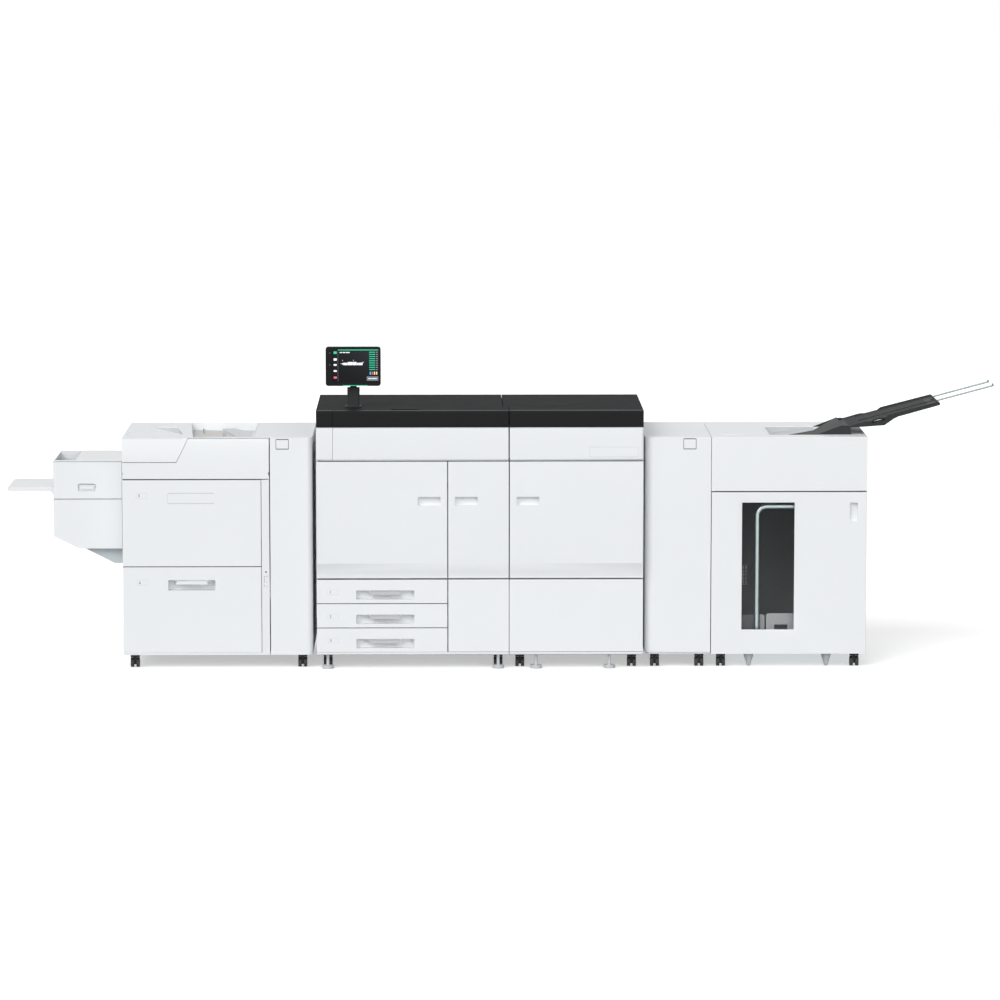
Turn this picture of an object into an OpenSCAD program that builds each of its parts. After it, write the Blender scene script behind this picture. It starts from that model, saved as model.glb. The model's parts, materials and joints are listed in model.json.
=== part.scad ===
// Digital production printer: bypass unit, sheet feeder, engine in two blocks, decurler and
// stacker in a row, with a touch panel and a sloped exit tray.
// X runs along the row to the right, Y from front to rear, Z up from the floor.

/* [Units in the row] */
// Width of bypass unit
bypass_w = 353; // [320:1:400]
// Width of sheet feeder
feeder_w = 977; // [940:1:1060]
// Width of left engine block
left_w = 990; // [950:1:1050]
// Width of right engine block
right_w = 689; // [640:1:760]
// Width of decurler
decurler_w = 340; // [300:1:400]
// Width of stacker
stacker_w = 803; // [780:1:880]
// Depth of feeder, decurler and stacker
unit_d = 725; // [700:1:770]
// Height of feeder, decurler and stacker
unit_h = 1200; // [1180:1:1240]
// Height of units' underside above their caster wheels
caster_up = 21; // [16:1:30]
// Thickness of base of each unit
base_t = 12; // [8:1:20]
// Depth of engine
engine_d = 831; // [810:1:870]
// How far engine stands forward of other units
engine_proud = 50; // [40:1:60]
// Height of engine
engine_h = 1342; // [1320:1:1380]
// Gap between bypass unit and feeder
bypass_gap = 10; // [5:1:20]
// Gap between feeder and engine
feeder_gap = 21.5; // [10:0.5:30]
// Gap between two engine blocks
block_gap = 2.7; // [2:0.1:6]
// Gap between engine and decurler
decurler_gap = 9.6; // [5:0.1:20]
// Gap between decurler and stacker
stacker_gap = 2.5; // [1:0.1:6]

/* [Sheets, skins and seams] */
// Thickness of sheet-metal frame walls
frame_t = 6; // [4:0.5:10]
// Thickness of moulded covers
skin = 4; // [3:0.5:6]
// Thickness of flat front covers
panel_t = 20; // [16:1:26]
// Seam between two covers
seam = 1.5; // [1:0.1:3]
// Clearance between parts that slide
running = 0.3; // [0.2:0.05:0.5]
// Room behind a door or front
back_gap = 5; // [4:0.5:8]
// Edge round of tall cover corners
edge_r = 12; // [6:1:20]
// Width of a docking bracket between two units
dock_w = 60; // [30:1:100]

/* [Hinges] */
// Radius of a door hinge pin
pin_r = 3; // [2.5:0.1:4]
// Radial clearance of a pin in bore
pin_gap = 0.05; // [0.02:0.01:0.1]
// Length of a door hinge pin in door
pin_l = 22; // [15:1:40]
// Distance of a door hinge from door's edge
hinge_in = 12; // [10:0.5:16]
// Distance of a door hinge behind door's front face
hinge_back = 6; // [5.5:0.5:8]
// Thickness of a steel hinge leaf
leaf_t = 1.6; // [1:0.1:2]
// Width of a hinge leaf
leaf_w = 10; // [8:0.5:11]

/* [Casters and feet] */
// Radius of a caster wheel
wheel_r = 25; // [22:0.5:28]
// Width over two wheels of a caster
caster_w = 46; // [40:1:52]
// Width of hood between two wheels
hood_w = 12; // [8:0.5:16]
// Radius of a caster axle
axle_r = 4; // [3:0.5:5]
// Radius of a caster stem
stem_r = 8; // [6:0.5:10]
// Distance of a caster from side of unit
caster_in = 55; // [45:1:80]
// Distance of front casters behind front of units
caster_front = 60; // [40:1:100]
// Distance of rear casters in front of back
caster_rear = 90; // [60:1:130]
// Radius of a levelling foot
foot_r = 30; // [24:1:36]
// Height of a levelling foot's pad
foot_h = 18; // [12:1:24]
// Radius of a levelling foot's threaded rod
foot_rod_r = 8; // [6:0.5:10]

/* [Bypass unit] */
// Distance of bypass unit behind units' front
bypass_y = 110; // [90:1:140]
// Depth of bypass unit
bypass_d = 470; // [440:1:500]
// How far top lies below feeder's top
bypass_step = 131; // [100:1:160]
// Height of part above seam under door
bypass_door_h = 201; // [190:1:210]
// Height of bypass unit
bypass_h = 457; // [430:1:480]
// Width of opening in top
bypass_open_w = 113; // [100:1:120]
// Distance of that opening from back
bypass_open_rear = 35; // [25:1:45]
// Width of chamfer at lower left corner
bypass_slope_w = 130; // [90:1:160]
// Height of that chamfer
bypass_slope_h = 64; // [40:1:90]
// Height of wedge bracket under it
wedge_h = 82; // [60:1:100]
// Length of bypass tray
tray_l = 241; // [200:1:260]
// Width of bypass tray
tray_w = 371; // [340:1:390]
// Thickness of bypass tray
tray_t = 22; // [18:1:26]
// Depth of bypass tray's top below unit's top
tray_down = 142.5; // [135:0.5:150]
// Corner radius of bypass tray
tray_r = 20; // [10:1:30]

/* [Feeder] */
// Width of upright transport column
column_w = 217; // [200:1:240]
// Edge round of column's front right corner
column_r = 31; // [20:1:40]
// Width of narrow strip beside drawers
strip_w = 40; // [34:1:46]
// Gap between strip and column
strip_gap = 5; // [3:0.5:8]
// Height of feeder above upper drawer
cover_h = 217; // [205:1:230]
// Share of drawers' height that lower front takes
lower_front_share = 0.498; // [0.48:0.001:0.52]
// Height of corner cover
corner_h = 128.5; // [110:0.5:150]
// Width of corner cover at top
corner_top_w = 343; // [320:1:360]
// Width of corner cover at lower edge
corner_low_w = 280; // [260:1:300]
// Height of part of front that leans back
lean_h = 71; // [50:1:80]
// How far front leans back at top
lean_d = 10; // [5:1:15]
// Distance of drawer boxes from unit's back
box_rear = 75; // [55:1:125]
// Depth of a drawer box's top below top of front
box_down = 54.5; // [40:0.5:90]
// Wall of a drawer box
box_t = 2.5; // [2:0.5:4]
// Width of a drawer rail
rail_w = 14; // [10:1:18]
// Height of a drawer rail
rail_h = 36; // [28:1:44]
// Width of a drawer's grip pocket
grip_w = 243; // [220:1:260]
// Height of a drawer's grip pocket
grip_h = 55; // [48:1:60]
// Depth of a drawer's grip pocket
grip_d = 52; // [50:1:60]
// Depth of a grip pocket's top below seam above it
grip_down = 69.5; // [60:0.5:80]
// Width of lower drawer's paddle
paddle_w = 160; // [140:1:180]
// Height of a grip paddle
paddle_h = 20; // [16:1:24]
// Thickness of a grip paddle
paddle_t = 4; // [3:0.5:5]
// Radius of a paddle's hinge pin
paddle_pin_r = 2; // [1.5:0.1:2.5]

/* [Catch tray in the feeder's top] */
// How far column's top plate reaches over feeder
column_over = 82; // [70:1:95]
// Length of pit along front
pit_l = 306; // [280:1:330]
// How much further left pit reaches at back
pit_slant = 44; // [20:1:60]
// Depth of pit below top
pit_d = 40; // [30:1:50]
// Height of raised floor on pit's right
land_h = 12; // [6:1:15]
// Distance of pit from front
catch_y = 34; // [32:1:50]
// Distance of pit from back
catch_rear = 10; // [8:1:30]
// Distance of three-sided ramp from feeder's left side
ramp_in = 113; // [90:1:130]
// Width of ramp at back
ramp_w = 142; // [120:1:160]
// How far front corner lies to right of left corner
ramp_run = 196; // [170:1:200]
// Distance of ramp's front corner from front
ramp_y = 145; // [120:1:170]
// Length of ramp from front to back
ramp_l = 369; // [340:1:400]
// Depth of ramp at long side
ramp_d = 30; // [20:1:36]

/* [Engine front] */
// Height of upper covers
upper_h = 260; // [250:1:272]
// Height of black band along top
fascia_h = 85; // [75:1:95]
// Height of light line under black band
line_h = 5; // [3:0.5:8]
// Depth of that line's groove
line_d = 1.5; // [1:0.5:3]
// Width of fixed strip left of toner cover
side_strip_w = 84; // [70:1:100]
// Width of middle door
middle_door_w = 313.75; // [300:0.25:340]
// Thickness of doors
door_t = 34; // [30:1:38]
// Height of doors' lower band with slope
band_h = 80; // [70:1:90]
// Height of that slope
band_slope_h = 49; // [40:1:60]
// How far lower band is set back
band_in = 18; // [14:1:20]
// Width of a door's grip pocket
pocket_w = 117; // [100:1:130]
// Height of a door's grip pocket
pocket_h = 45; // [38:1:50]
// Depth of a door's grip pocket
pocket_d = 24; // [18:1:26]
// Depth of doors' grip pockets below upper covers
pocket_down = 184; // [160:1:210]
// Distance of a grip pocket from door's free edge
pocket_in = 36; // [30:1:45]
// Bevel at upper covers' lower edge
bevel_h = 11; // [8:1:14]
// Depth of that bevel
bevel_d = 8; // [6:0.5:8]
// How far toner cover reaches over top
rim_d = 43; // [40:1:60]
// Depth of toner cover's front shell
cover_shell_d = 30; // [26:1:32]
// Edge round of black top
top_r = 10; // [6:1:16]
// How far gap between black tops jogs to left
jog_w = 30; // [20:1:40]
// Distance of that jog behind units' front
jog_y = 140; // [110:1:170]
// Distance of seam across black tops behind units' front
top_seam_y = 215; // [200:1:240]
// Width of grip recess behind toner cover
top_grip_w = 143; // [120:1:160]
// Length of that recess from front to back
top_grip_l = 41; // [34:1:50]
// Depth of that recess
top_grip_d = 22; // [16:1:30]
// Place of that recess between ends of left top
top_grip_place_share = 0.456; // [0.3:0.001:0.6]

/* [Paper trays] */
// Number of paper trays
trays_n = 3; // [3:1:3]
// Height of a paper tray's front
tray_front_h = 125.3; // [120:0.1:125.8]
// Height of sill under lowest tray
sill_h = 18.8; // [15:0.1:24]
// Width of a paper tray's grip pocket
tray_grip_w = 299; // [270:1:320]
// Height of a paper tray's grip pocket
tray_grip_h = 48; // [44:1:52]
// Height of that pocket above tray's lower edge
tray_grip_up = 20; // [16:1:24]
// Place of that pocket between tray's ends
tray_grip_place_share = 0.541; // [0.4:0.001:0.6]
// Depth of that pocket
tray_grip_d = 40; // [36:1:46]
// Width of a paper tray's paddle
tray_paddle_w = 155; // [140:1:170]
// Height of a paper tray's box
tray_box_h = 96; // [85:1:100]
// Distance of trays' boxes from engine's back
tray_box_rear = 131; // [100:1:180]

/* [Inside the engine] */
// Number of toner cartridges and drum units
stations_n = 5; // [4:1:5]
// Radius of a toner cartridge
toner_r = 55; // [45:1:60]
// Length of a toner cartridge
toner_l = 520; // [450:1:560]
// Radius of a photoreceptor drum
drum_r = 42; // [36:1:46]
// Length of a drum
drum_l = 560; // [520:1:600]
// Depth of drums' axis below upper covers
drum_down = 157; // [140:1:180]
// Thickness of transfer belt
belt_t = 3; // [2:0.5:4]
// Radius of transfer belt's rollers
belt_r = 34; // [28:1:38]
// Radius of fuser and pressure rollers
fuser_r = 32; // [28:1:36]
// Length of fuser rollers
fuser_l = 520; // [480:1:560]

/* [Touch panel] */
// Width of touch panel
screen_w = 284; // [260:1:310]
// Height of touch panel
screen_h = 203; // [190:1:220]
// Thickness of touch panel
screen_t = 26; // [22:1:30]
// Corner radius of touch panel
screen_r = 14; // [8:1:20]
// Height of touch panel's lower edge above engine's top
screen_up = 114; // [100:1:130]
// How far housing on back stands out
bulge_d = 10; // [6:1:14]
// Distance of front behind units' front
screen_y = 100; // [90:1:120]
// Distance of centre from engine's left side
screen_x = 189.5; // [170:0.5:210]
// Width of mast
mast_w = 64; // [50:1:70]
// Depth of mast
mast_d = 34; // [28:1:40]
// Distance of mast's axis behind units' front
mast_y = 158; // [154:1:170]
// Width of collar at mast's foot
collar_w = 84; // [76:1:96]

/* [Decurler] */
// Edge round of decurler's front left corner
decurler_r = 44; // [20:1:60]
// Height of plinth
plinth_h = 10; // [6:1:11]
// How far plinth is set back
plinth_in = 8; // [5:1:12]

/* [Stacker] */
// Height of stacker above door
stacker_upper_h = 281.5; // [270:0.5:295]
// Thickness of stacker's door
stacker_door_t = 25; // [22:1:30]
// Distance of window from stacker's left side
window_in = 159; // [140:1:170]
// Width of window
window_w = 271; // [250:1:290]
// Height of window's lower edge above stacker's underside
window_up = 126; // [110:1:140]
// Depth of window's upper edge below door's upper seam
window_down = 59.5; // [45:0.5:75]
// Width of bevelled frame round window
window_bevel = 32; // [24:1:36]
// Depth of that bevel
window_bevel_d = 8; // [5:0.5:9]
// Thickness of window's glass
glass_t = 4; // [3:0.5:5]
// Width of upright grip slot
slot_w = 41; // [34:1:46]
// Height of upright grip slot
slot_h = 97; // [85:1:110]
// Distance of slot from door's right edge
slot_in = 48; // [40:1:60]
// Radius of cart's tube handle
tube_r = 12.5; // [11:0.5:14]
// Bend radius of tube handle
bend_r = 50; // [40:1:60]
// Depth of tube handle's level run below window's upper edge
tube_down = 25; // [15:1:50]
// Thickness of lift table
table_t = 14; // [10:1:18]
// Distance of recess in top from stacker's left side
recess_in = 306; // [290:1:320]
// Length of that recess
recess_l = 254; // [230:1:255]
// Distance of recess from front
recess_y = 103; // [95:1:108]
// Width of recess from front to back
recess_w = 396; // [390:1:410]
// Depth of recess at left end
recess_d = 36; // [24:1:44]

/* [Exit tray] */
// Slope of exit tray
exit_angle = 15; // [12:0.5:18]
// Distance of low end of tray's chute from stacker's left side
exit_in = 412; // [400:1:430]
// Length of tray along slope
exit_l = 790; // [760:1:820]
// Distance of tray from units' front
exit_y = 110; // [100:1:130]
// Width of tray
exit_w = 385; // [360:1:400]
// Height of tray's body
exit_h = 62; // [56:1:70]
// Radius of a sliding rod
rod_r = 4; // [3:0.5:5]
// Length of a rod that shows
rod_out = 302; // [260:1:320]
// Length of a rod held in tray
rod_hold = 220; // [200:1:240]
// How far rods slide in
rod_travel = 200; // [150:1:210]
// Distance of front rod from tray's front side
rod_y = 140; // [120:1:150]
// Distance between two rods
rod_pitch = 200; // [180:1:210]

/* [Hidden] */
$fn = 48;

white = "#ECEFF1";
shade = "#C5CBCD";
black = "#333435";
dark = "#26282A";
steel = "#B9C0C2";

// Overrun of every cut
cut = 1;

// Places of units along row, from left engine block outwards
left_x0 = 0;
left_x1 = left_x0 + left_w;
right_x0 = left_x1 + block_gap;
right_x1 = right_x0 + right_w;
decurler_x0 = right_x1 + decurler_gap;
decurler_x1 = decurler_x0 + decurler_w;
stacker_x0 = decurler_x1 + stacker_gap;
stacker_x1 = stacker_x0 + stacker_w;
feeder_x1 = left_x0 - feeder_gap;
feeder_x0 = feeder_x1 - feeder_w;
bypass_x1 = feeder_x0 - bypass_gap;
bypass_x0 = bypass_x1 - bypass_w;

// Heights, from tops downwards and from floor upwards
skirt_z = 2 * wheel_r + caster_up;
base_z1 = skirt_z + base_t;
trays_z = skirt_z + sill_h;
tray_pitch = tray_front_h + seam * 0.8;
door_low_z = trays_z + trays_n * tray_pitch + 2.5 * seam;
band_top_z = door_low_z + band_h;
band_low_z = band_top_z - band_slope_h;
upper_seam_z = engine_h - upper_h;
fascia_z = engine_h - fascia_h;
pocket_z = upper_seam_z - pocket_down - pocket_h;
drum_z = upper_seam_z - drum_down;
screen_z = engine_h + screen_up;
cover_seam_z = unit_h - cover_h;
drawer_seam_z = base_z1 + (cover_seam_z - base_z1) * lower_front_share;
corner_z = unit_h - corner_h;
lean_z = unit_h - lean_h;
grip_low_z = drawer_seam_z - grip_down;
grip_up_z = cover_seam_z - grip_down;
bypass_top_z = unit_h - bypass_step;
bypass_seam_z = bypass_top_z - bypass_door_h;
bypass_low_z = bypass_top_z - bypass_h;
wedge_z = bypass_low_z - wedge_h;
tray_z = bypass_top_z - tray_down;
top_seam_z = unit_h - stacker_upper_h;
window_z = skirt_z + window_up;
window_z1 = top_seam_z - window_down;
window_h = window_z1 - window_z;
slot_z = window_z1 - slot_h;
tube_z = window_z1 - tube_down;

// Widths and depths that follow
left_door_w = left_w - middle_door_w - seam * 1.5;
dock_y = unit_d / 2;

// Engine planes
engine_y0 = -engine_proud;
engine_y1 = engine_y0 + engine_d;
core_y = engine_y0 + door_t + back_gap;
tray_y0 = engine_y0 + band_in;
tray_y1 = core_y - seam;
tray_box_y1 = engine_y1 - tray_box_rear;

// Feeder planes
column_x0 = feeder_x1 - column_w;
strip_x1 = column_x0 - strip_gap;
strip_x0 = strip_x1 - strip_w;
drawer_x1 = strip_x0 - seam;
box_d = unit_d - box_rear;
fronts_y = panel_t + seam;
cover_back_y = panel_t + lean_d;

// Sloped exit tray
rod_end = exit_l + rod_out;
row_x0 = bypass_x0 - tray_l;
row_x1 = stacker_x0 + exit_in + rod_end * cos(exit_angle);

// Every node is drawn through this, which puts origin on floor under
// Middle of whole row
module placed() translate([-(row_x0 + row_x1) / 2, -(engine_y0 + engine_y1) / 2, 0]) children();

// Node colours
module in_white() color(white) placed() children();
module in_shade() color(shade) placed() children();
module in_black() color(black) placed() children();
module in_dark() color(dark) placed() children();
module in_steel() color(steel) placed() children();

// A box between lowest and highest corner
module block(lo, hi) translate(lo) cube(hi - lo);

// An outline in Y and Z, run along X
module along_x(x0, x1) translate([x0, 0, 0]) rotate([90, 0, 90]) linear_extrude(x1 - x0) children();

// An outline in X and Z, run along Y
module along_y(y0, y1) translate([0, y1, 0]) rotate([90, 0, 0]) linear_extrude(y1 - y0) children();

// Points of an arc about c from one angle to another
arc_n = 6;
function arc(c, r, from, to) = [for (i = [0 : arc_n]) let (a = from + (to - from) * i / arc_n)
    c + r * [cos(a), sin(a)]];

// Round bars along X and Y from a point
module bar_x(p, l, r) translate(p) rotate([0, 90, 0]) cylinder(h = l, r = r);
module bar_y(p, l, r) translate(p) rotate([-90, 0, 0]) cylinder(h = l, r = r);

// A rectangle with round corners
module rounded(lo, hi, r) translate([lo[0] + r, lo[1] + r]) offset(r = r)
    square([hi[0] - lo[0] - 2 * r, hi[1] - lo[1] - 2 * r]);

// A rectangle whose chosen corners are round: front left, front right
module plan(lo, hi, r, left = true, right = true) {
    rounded(lo, hi, r);
    translate([lo[0], lo[1] + r]) square([hi[0] - lo[0], hi[1] - lo[1] - r]);
    if (!left) translate(lo) square([r, r]);
    if (!right) translate([hi[0] - r, lo[1]]) square([r, r]);
}

// A cover seen from above as a plan, between two heights
module upright(z0, z1) translate([0, 0, z0]) linear_extrude(z1 - z0) children();

// A steel hinge leaf with pin: up = 1 sends pin upwards
module hinge_leaf(x, y, z, back, up) {
    upright(z, z + leaf_t) union() {
        translate([x, y]) circle(r = leaf_w / 2);
        translate([x - leaf_w / 2, y]) square([leaf_w, back - y]);
    }
    translate([x, y, up > 0 ? z + leaf_t : z - pin_l]) cylinder(h = pin_l, r = pin_r);
}

// The bores for a door's two pins
module hinge_bores(x, y, z0, z1) {
    translate([x, y, z0 - cut]) cylinder(h = pin_l + 2 * cut, r = pin_r + pin_gap);
    translate([x, y, z1 - pin_l - cut]) cylinder(h = pin_l + 2 * cut, r = pin_r + pin_gap);
}

// A grip paddle that hangs from a barrel, with a pin at each end
barrel_r = paddle_pin_r + skin / 2;
lug_t = skin;
module grip_paddle(x0, x1, y, z) {
    bar_x([x0, y, z], x1 - x0, barrel_r);
    bar_x([x0 - lug_t, y, z], x1 - x0 + 2 * lug_t, paddle_pin_r);
    block([x0, y - paddle_t / 2, z - paddle_h], [x1, y + paddle_t / 2, z]);
}

// The two lugs that carry such a paddle, hung from pocket's ceiling
module paddle_lugs(x0, x1, y, z, ceiling) {
    for (x = [x0 - lug_t - running, x1 + running]) difference() {
        block([x, y - barrel_r, z - barrel_r], [x + lug_t, y + barrel_r, ceiling]);
        bar_x([x - cut, y, z], lug_t + 2 * cut, paddle_pin_r + pin_gap);
    }
}

// A front with a box behind it that is open at top
module drawer(lo, hi, back, box_lo, box_hi) {
    block(lo, [hi[0], back, hi[2]]);
    difference() {
        block([box_lo[0], back, box_lo[2]], box_hi);
        block([box_lo[0] + box_t, back + box_t, box_lo[2] + box_t],
        [box_hi[0] - box_t, box_hi[1] - box_t, box_hi[2] + cut]);
    }
}

// The grip pocket of a front: housing, hollow
module pocket_housing(x0, x1, z0, z1, y0, d)
    block([x0 - skin, y0, z0 - skin], [x1 + skin, y0 + d + skin, z1 + skin]);
pocket_r = edge_r / 2;
module pocket_hollow(x0, x1, z0, z1, y0, d)
    along_y(y0 - cut, y0 + d) rounded([x0, z0], [x1, z1], pocket_r);

// Rows of slots in a unit's rear wall, low down
louvres_n = 8;
louvre_pitch = frame_t * 2;
module louvres(x0, x1, y) for (i = [0 : louvres_n - 1])
    block([x0 + dock_w / 2, y - frame_t - cut, base_z1 + dock_w * 3 + louvre_pitch * i],
        [x1 - dock_w / 2, y + cut, base_z1 + dock_w * 3 + louvre_pitch * (i + 0.5)]);

// Bypass unit
bypass_y1 = bypass_y + bypass_d;
bypass_door_z0 = bypass_seam_z + seam;
bypass_door_z1 = bypass_top_z - skin - leaf_t - 2 * running;
bypass_hinge = [bypass_x0 + hinge_in, bypass_y + hinge_back];
tray_pivot_x = bypass_x0 - tray_t / 2 - seam;
tray_pivot_z = tray_z - tray_t / 2;
tray_y_mid = bypass_y + bypass_d / 2;
// Ends of latch pocket in shares of bypass unit's width
latch_share = [0.36, 0.62];
latch_x0 = bypass_x0 + bypass_w * latch_share[0];
latch_x1 = bypass_x0 + bypass_w * latch_share[1];
latch_h = tray_l / 6;
latch_z1 = bypass_door_z0 + latch_h * 2;
latch_pivot_z = latch_z1 - latch_h / 4;
latch_y = bypass_y + (panel_t - skin) / 2;
slot_z0 = tray_z - tray_t / 4;
cheek_y = bypass_y + panel_t + back_gap;
open_y1 = bypass_y1 - bypass_open_rear;
roller_r = tray_t / 2;
roller_x = bypass_x0 + tray_r * 2;
roller_z = tray_z - roller_r;
shaft_r = roller_r / 2;

module bypass_outline() polygon([
    [bypass_x0, bypass_low_z + bypass_slope_h], [bypass_x0 + bypass_slope_w, bypass_low_z],
    [bypass_x1, bypass_low_z], [bypass_x1, bypass_top_z - skin], [bypass_x0, bypass_top_z - skin]]);

module bypass_housing() in_white() {
    difference() {
        union() {
        difference() {
        along_y(bypass_y, bypass_y1) bypass_outline();
        along_y(bypass_y + skin, bypass_y1 - skin) offset(delta = -skin) bypass_outline();
        }
        for (y = [cheek_y, bypass_y1 - skin - back_gap])
        block([bypass_x0 + skin, y, bypass_seam_z], [roller_x + tray_r,
        y + skin, tray_z]);
        }
        block([bypass_x0 - cut, bypass_y - cut, bypass_seam_z],
        [bypass_x1 + cut, bypass_y + panel_t + back_gap, bypass_top_z]);
        block([bypass_x0 + skin, bypass_y - cut, bypass_top_z - skin - panel_t],
        [bypass_x1 - skin, bypass_y1 - skin, bypass_top_z + cut]);
        block([bypass_x0 - cut, tray_y_mid - tray_w / 2, slot_z0],
        [bypass_x0 + 2 * skin, tray_y_mid + tray_w / 2, tray_z + tray_t]);
        bar_y([roller_x, cheek_y - cut, roller_z], bypass_d, shaft_r + pin_gap);
    }
    for (s = [0, 1]) difference() {
        along_y(s == 0 ? tray_y_mid - tray_w / 2 - running - skin * 2 : tray_y_mid + tray_w / 2 + running,
        s == 0 ? tray_y_mid - tray_w / 2 - running : tray_y_mid + tray_w / 2 + running + skin * 2)
        union() {
        polygon([[bypass_x0, tray_z], [tray_pivot_x, tray_z], [tray_pivot_x - tray_t / 2,
        tray_pivot_z],
        [bypass_x0, tray_z - tray_t * 2]]);
        translate([tray_pivot_x, tray_pivot_z]) circle(r = tray_t / 2);
        }
        bar_y([tray_pivot_x, bypass_y - tray_t, tray_pivot_z], bypass_d + 2 * tray_t, pin_r + pin_gap);
    }
    for (y = [cheek_y, open_y1])
        block([bypass_x0 + skin / 2, y, tray_z + (y == cheek_y ? -seam : seam)],
        [bypass_x0 + bypass_open_w, y + skin, bypass_top_z - skin]);
    bar_y([bypass_x0 + bypass_open_w * guide_place_share, cheek_y + skin / 2,
        bypass_top_z - 3 * panel_t],
        open_y1 - cheek_y, shaft_r);
}
// Place of guide bar across top opening
guide_place_share = 0.69;

module bypass_top_cover() in_white() difference() {
    upright(bypass_top_z - skin, bypass_top_z)
        plan([bypass_x0, bypass_y], [bypass_x1, bypass_y1], edge_r, right = false);
    block([bypass_x0 - cut, cheek_y + skin, bypass_top_z - skin - cut],
        [bypass_x0 + bypass_open_w, open_y1, bypass_top_z + cut]);
}

module bypass_door() in_white() {
    difference() {
        upright(bypass_door_z0, bypass_door_z1)
        plan([bypass_x0, bypass_y], [bypass_x1, bypass_y + panel_t], edge_r / 2, right = false);
        pocket_hollow(latch_x0, latch_x1, latch_z1 - latch_h, latch_z1, bypass_y, panel_t - skin);
        hinge_bores(bypass_hinge[0], bypass_hinge[1], bypass_door_z0, bypass_door_z1);
    }
    paddle_lugs(latch_x0 + 2 * lug_t, latch_x1 - 2 * lug_t, latch_y, latch_pivot_z, latch_z1);
}

module bypass_latch() in_shade()
    grip_paddle(latch_x0 + 2 * lug_t, latch_x1 - 2 * lug_t, latch_y, latch_pivot_z);

module bypass_bracket() in_shade()
    along_y(bypass_y + tray_r * 2, bypass_y1 - tray_r * 2) polygon([
        [bypass_x0 + bypass_slope_w + tray_r, bypass_low_z], [bypass_x1 - bypass_slope_w / 3, wedge_z],
        [feeder_x0, wedge_z], [feeder_x0, bypass_low_z]]);

module bypass_tray() in_white() {
    y0 = tray_y_mid - tray_w / 2;
    y1 = tray_y_mid + tray_w / 2;
    intersection() {
        along_y(y0, y1) union() {
        rounded([row_x0, tray_z - tray_t], [tray_pivot_x, tray_z], tray_t / 4);
        translate([tray_pivot_x - tray_t, tray_z - tray_t]) square([tray_t, tray_t]);
        translate([tray_pivot_x, tray_pivot_z]) circle(r = tray_t / 2);
        }
        upright(tray_z - 2 * tray_t, tray_z + tray_t) union() {
        rounded([row_x0, y0], [tray_pivot_x, y1], tray_r);
        translate([row_x0 + tray_r, y0]) square([tray_l, tray_w]);
        }
    }
    bar_y([tray_pivot_x, y0 - 2 * skin - running, tray_pivot_z],
        tray_w + 4 * skin + 2 * running, pin_r);
}

module bypass_roller() in_shade() {
    y0 = cheek_y + skin + running;
    y1 = bypass_y1 - skin - back_gap - running;
    bar_y([roller_x, y0, roller_z], y1 - y0, roller_r);
    bar_y([roller_x, y0 - skin, roller_z], y1 - y0 + 2 * skin, shaft_r);
}

// Feeder
// Place of drawers' grip pockets between ends of fronts
grip_place_share = 0.494;
grip_x0 = feeder_x0 + (drawer_x1 - feeder_x0 - grip_w) * grip_place_share;
grip_x1 = grip_x0 + grip_w;
drawer_box_x0 = feeder_x0 + frame_t + rail_w + running;
drawer_box_x1 = strip_x0 - rail_w - running;
lower_z0 = base_z1 + seam / 2;
lower_z1 = drawer_seam_z - seam / 2;
upper_z0 = drawer_seam_z + seam / 2;
upper_z1 = cover_seam_z - seam / 2;
box_lift = frame_t * 2;
box_h = min(lower_z1 - lower_z0, upper_z1 - upper_z0) - box_lift - box_down;
rail_up = box_h / 4;

module drawer_rails(z) for (x = [feeder_x0 + frame_t, strip_x0 - rail_w])
    block([x, fronts_y, z + box_lift + rail_up],
        [x + rail_w, unit_d - frame_t, z + box_lift + rail_up + rail_h]);

module feeder_frame() in_white() {
    block([feeder_x0, 0, skirt_z], [strip_x1, unit_d, base_z1]);
    block([strip_x0, 0, base_z1], [strip_x1, panel_t, cover_seam_z - seam / 2]);
    difference() {
        block([feeder_x0, unit_d - frame_t, base_z1], [column_x0, unit_d, unit_h - 2 * skin]);
        louvres(feeder_x0, column_x0, unit_d);
    }
    block([feeder_x0, fronts_y, base_z1], [feeder_x0 + frame_t, unit_d, cover_seam_z]);
    block([strip_x0, panel_t, base_z1], [strip_x0 + frame_t, unit_d, cover_seam_z - frame_t]);
    for (x = [feeder_x0, strip_x0])
        block([x, cover_back_y + running, cover_seam_z], [x + frame_t, unit_d, unit_h - 2 * skin]);
    block([feeder_x0, fronts_y, upper_z0 - frame_t - seam], [strip_x0 + frame_t, unit_d, upper_z0 - seam]);
    block([feeder_x0, fronts_y, cover_seam_z - frame_t], [strip_x1, unit_d, cover_seam_z]);
    drawer_rails(lower_z0);
    drawer_rails(upper_z0);
    for (x = [feeder_x0, strip_x1 - ear_t]) cover_ear(x);
    dock(feeder_x1, left_x0);
}

// A docking bracket between two units
module dock(x0, x1) block([x0, dock_y, base_z1 + dock_w], [x1, dock_y + frame_t, base_z1 + 2 * dock_w]);

// Ears that carry feeder's front cover
ear_t = skin;
ear_h = panel_t + back_gap;
cover_pivot = [hinge_back, cover_seam_z + seam / 2 + hinge_back];
module cover_ear(x) difference() {
    block([x, seam, cover_seam_z], [x + ear_t, fronts_y + frame_t, cover_seam_z + ear_h]);
    bar_x([x - cut, cover_pivot[0], cover_pivot[1]], ear_t + 2 * cut, pin_r + pin_gap);
}

// The leaning front outline of feeder's covers between two heights, lower edge rounded
module lean_outline(z0, z1, r) polygon(concat(arc([r, z0 + r], r, 270, 180),
    [[0, lean_z], [lean_d, z1], [cover_back_y, z1], [cover_back_y, z0]]));

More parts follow.
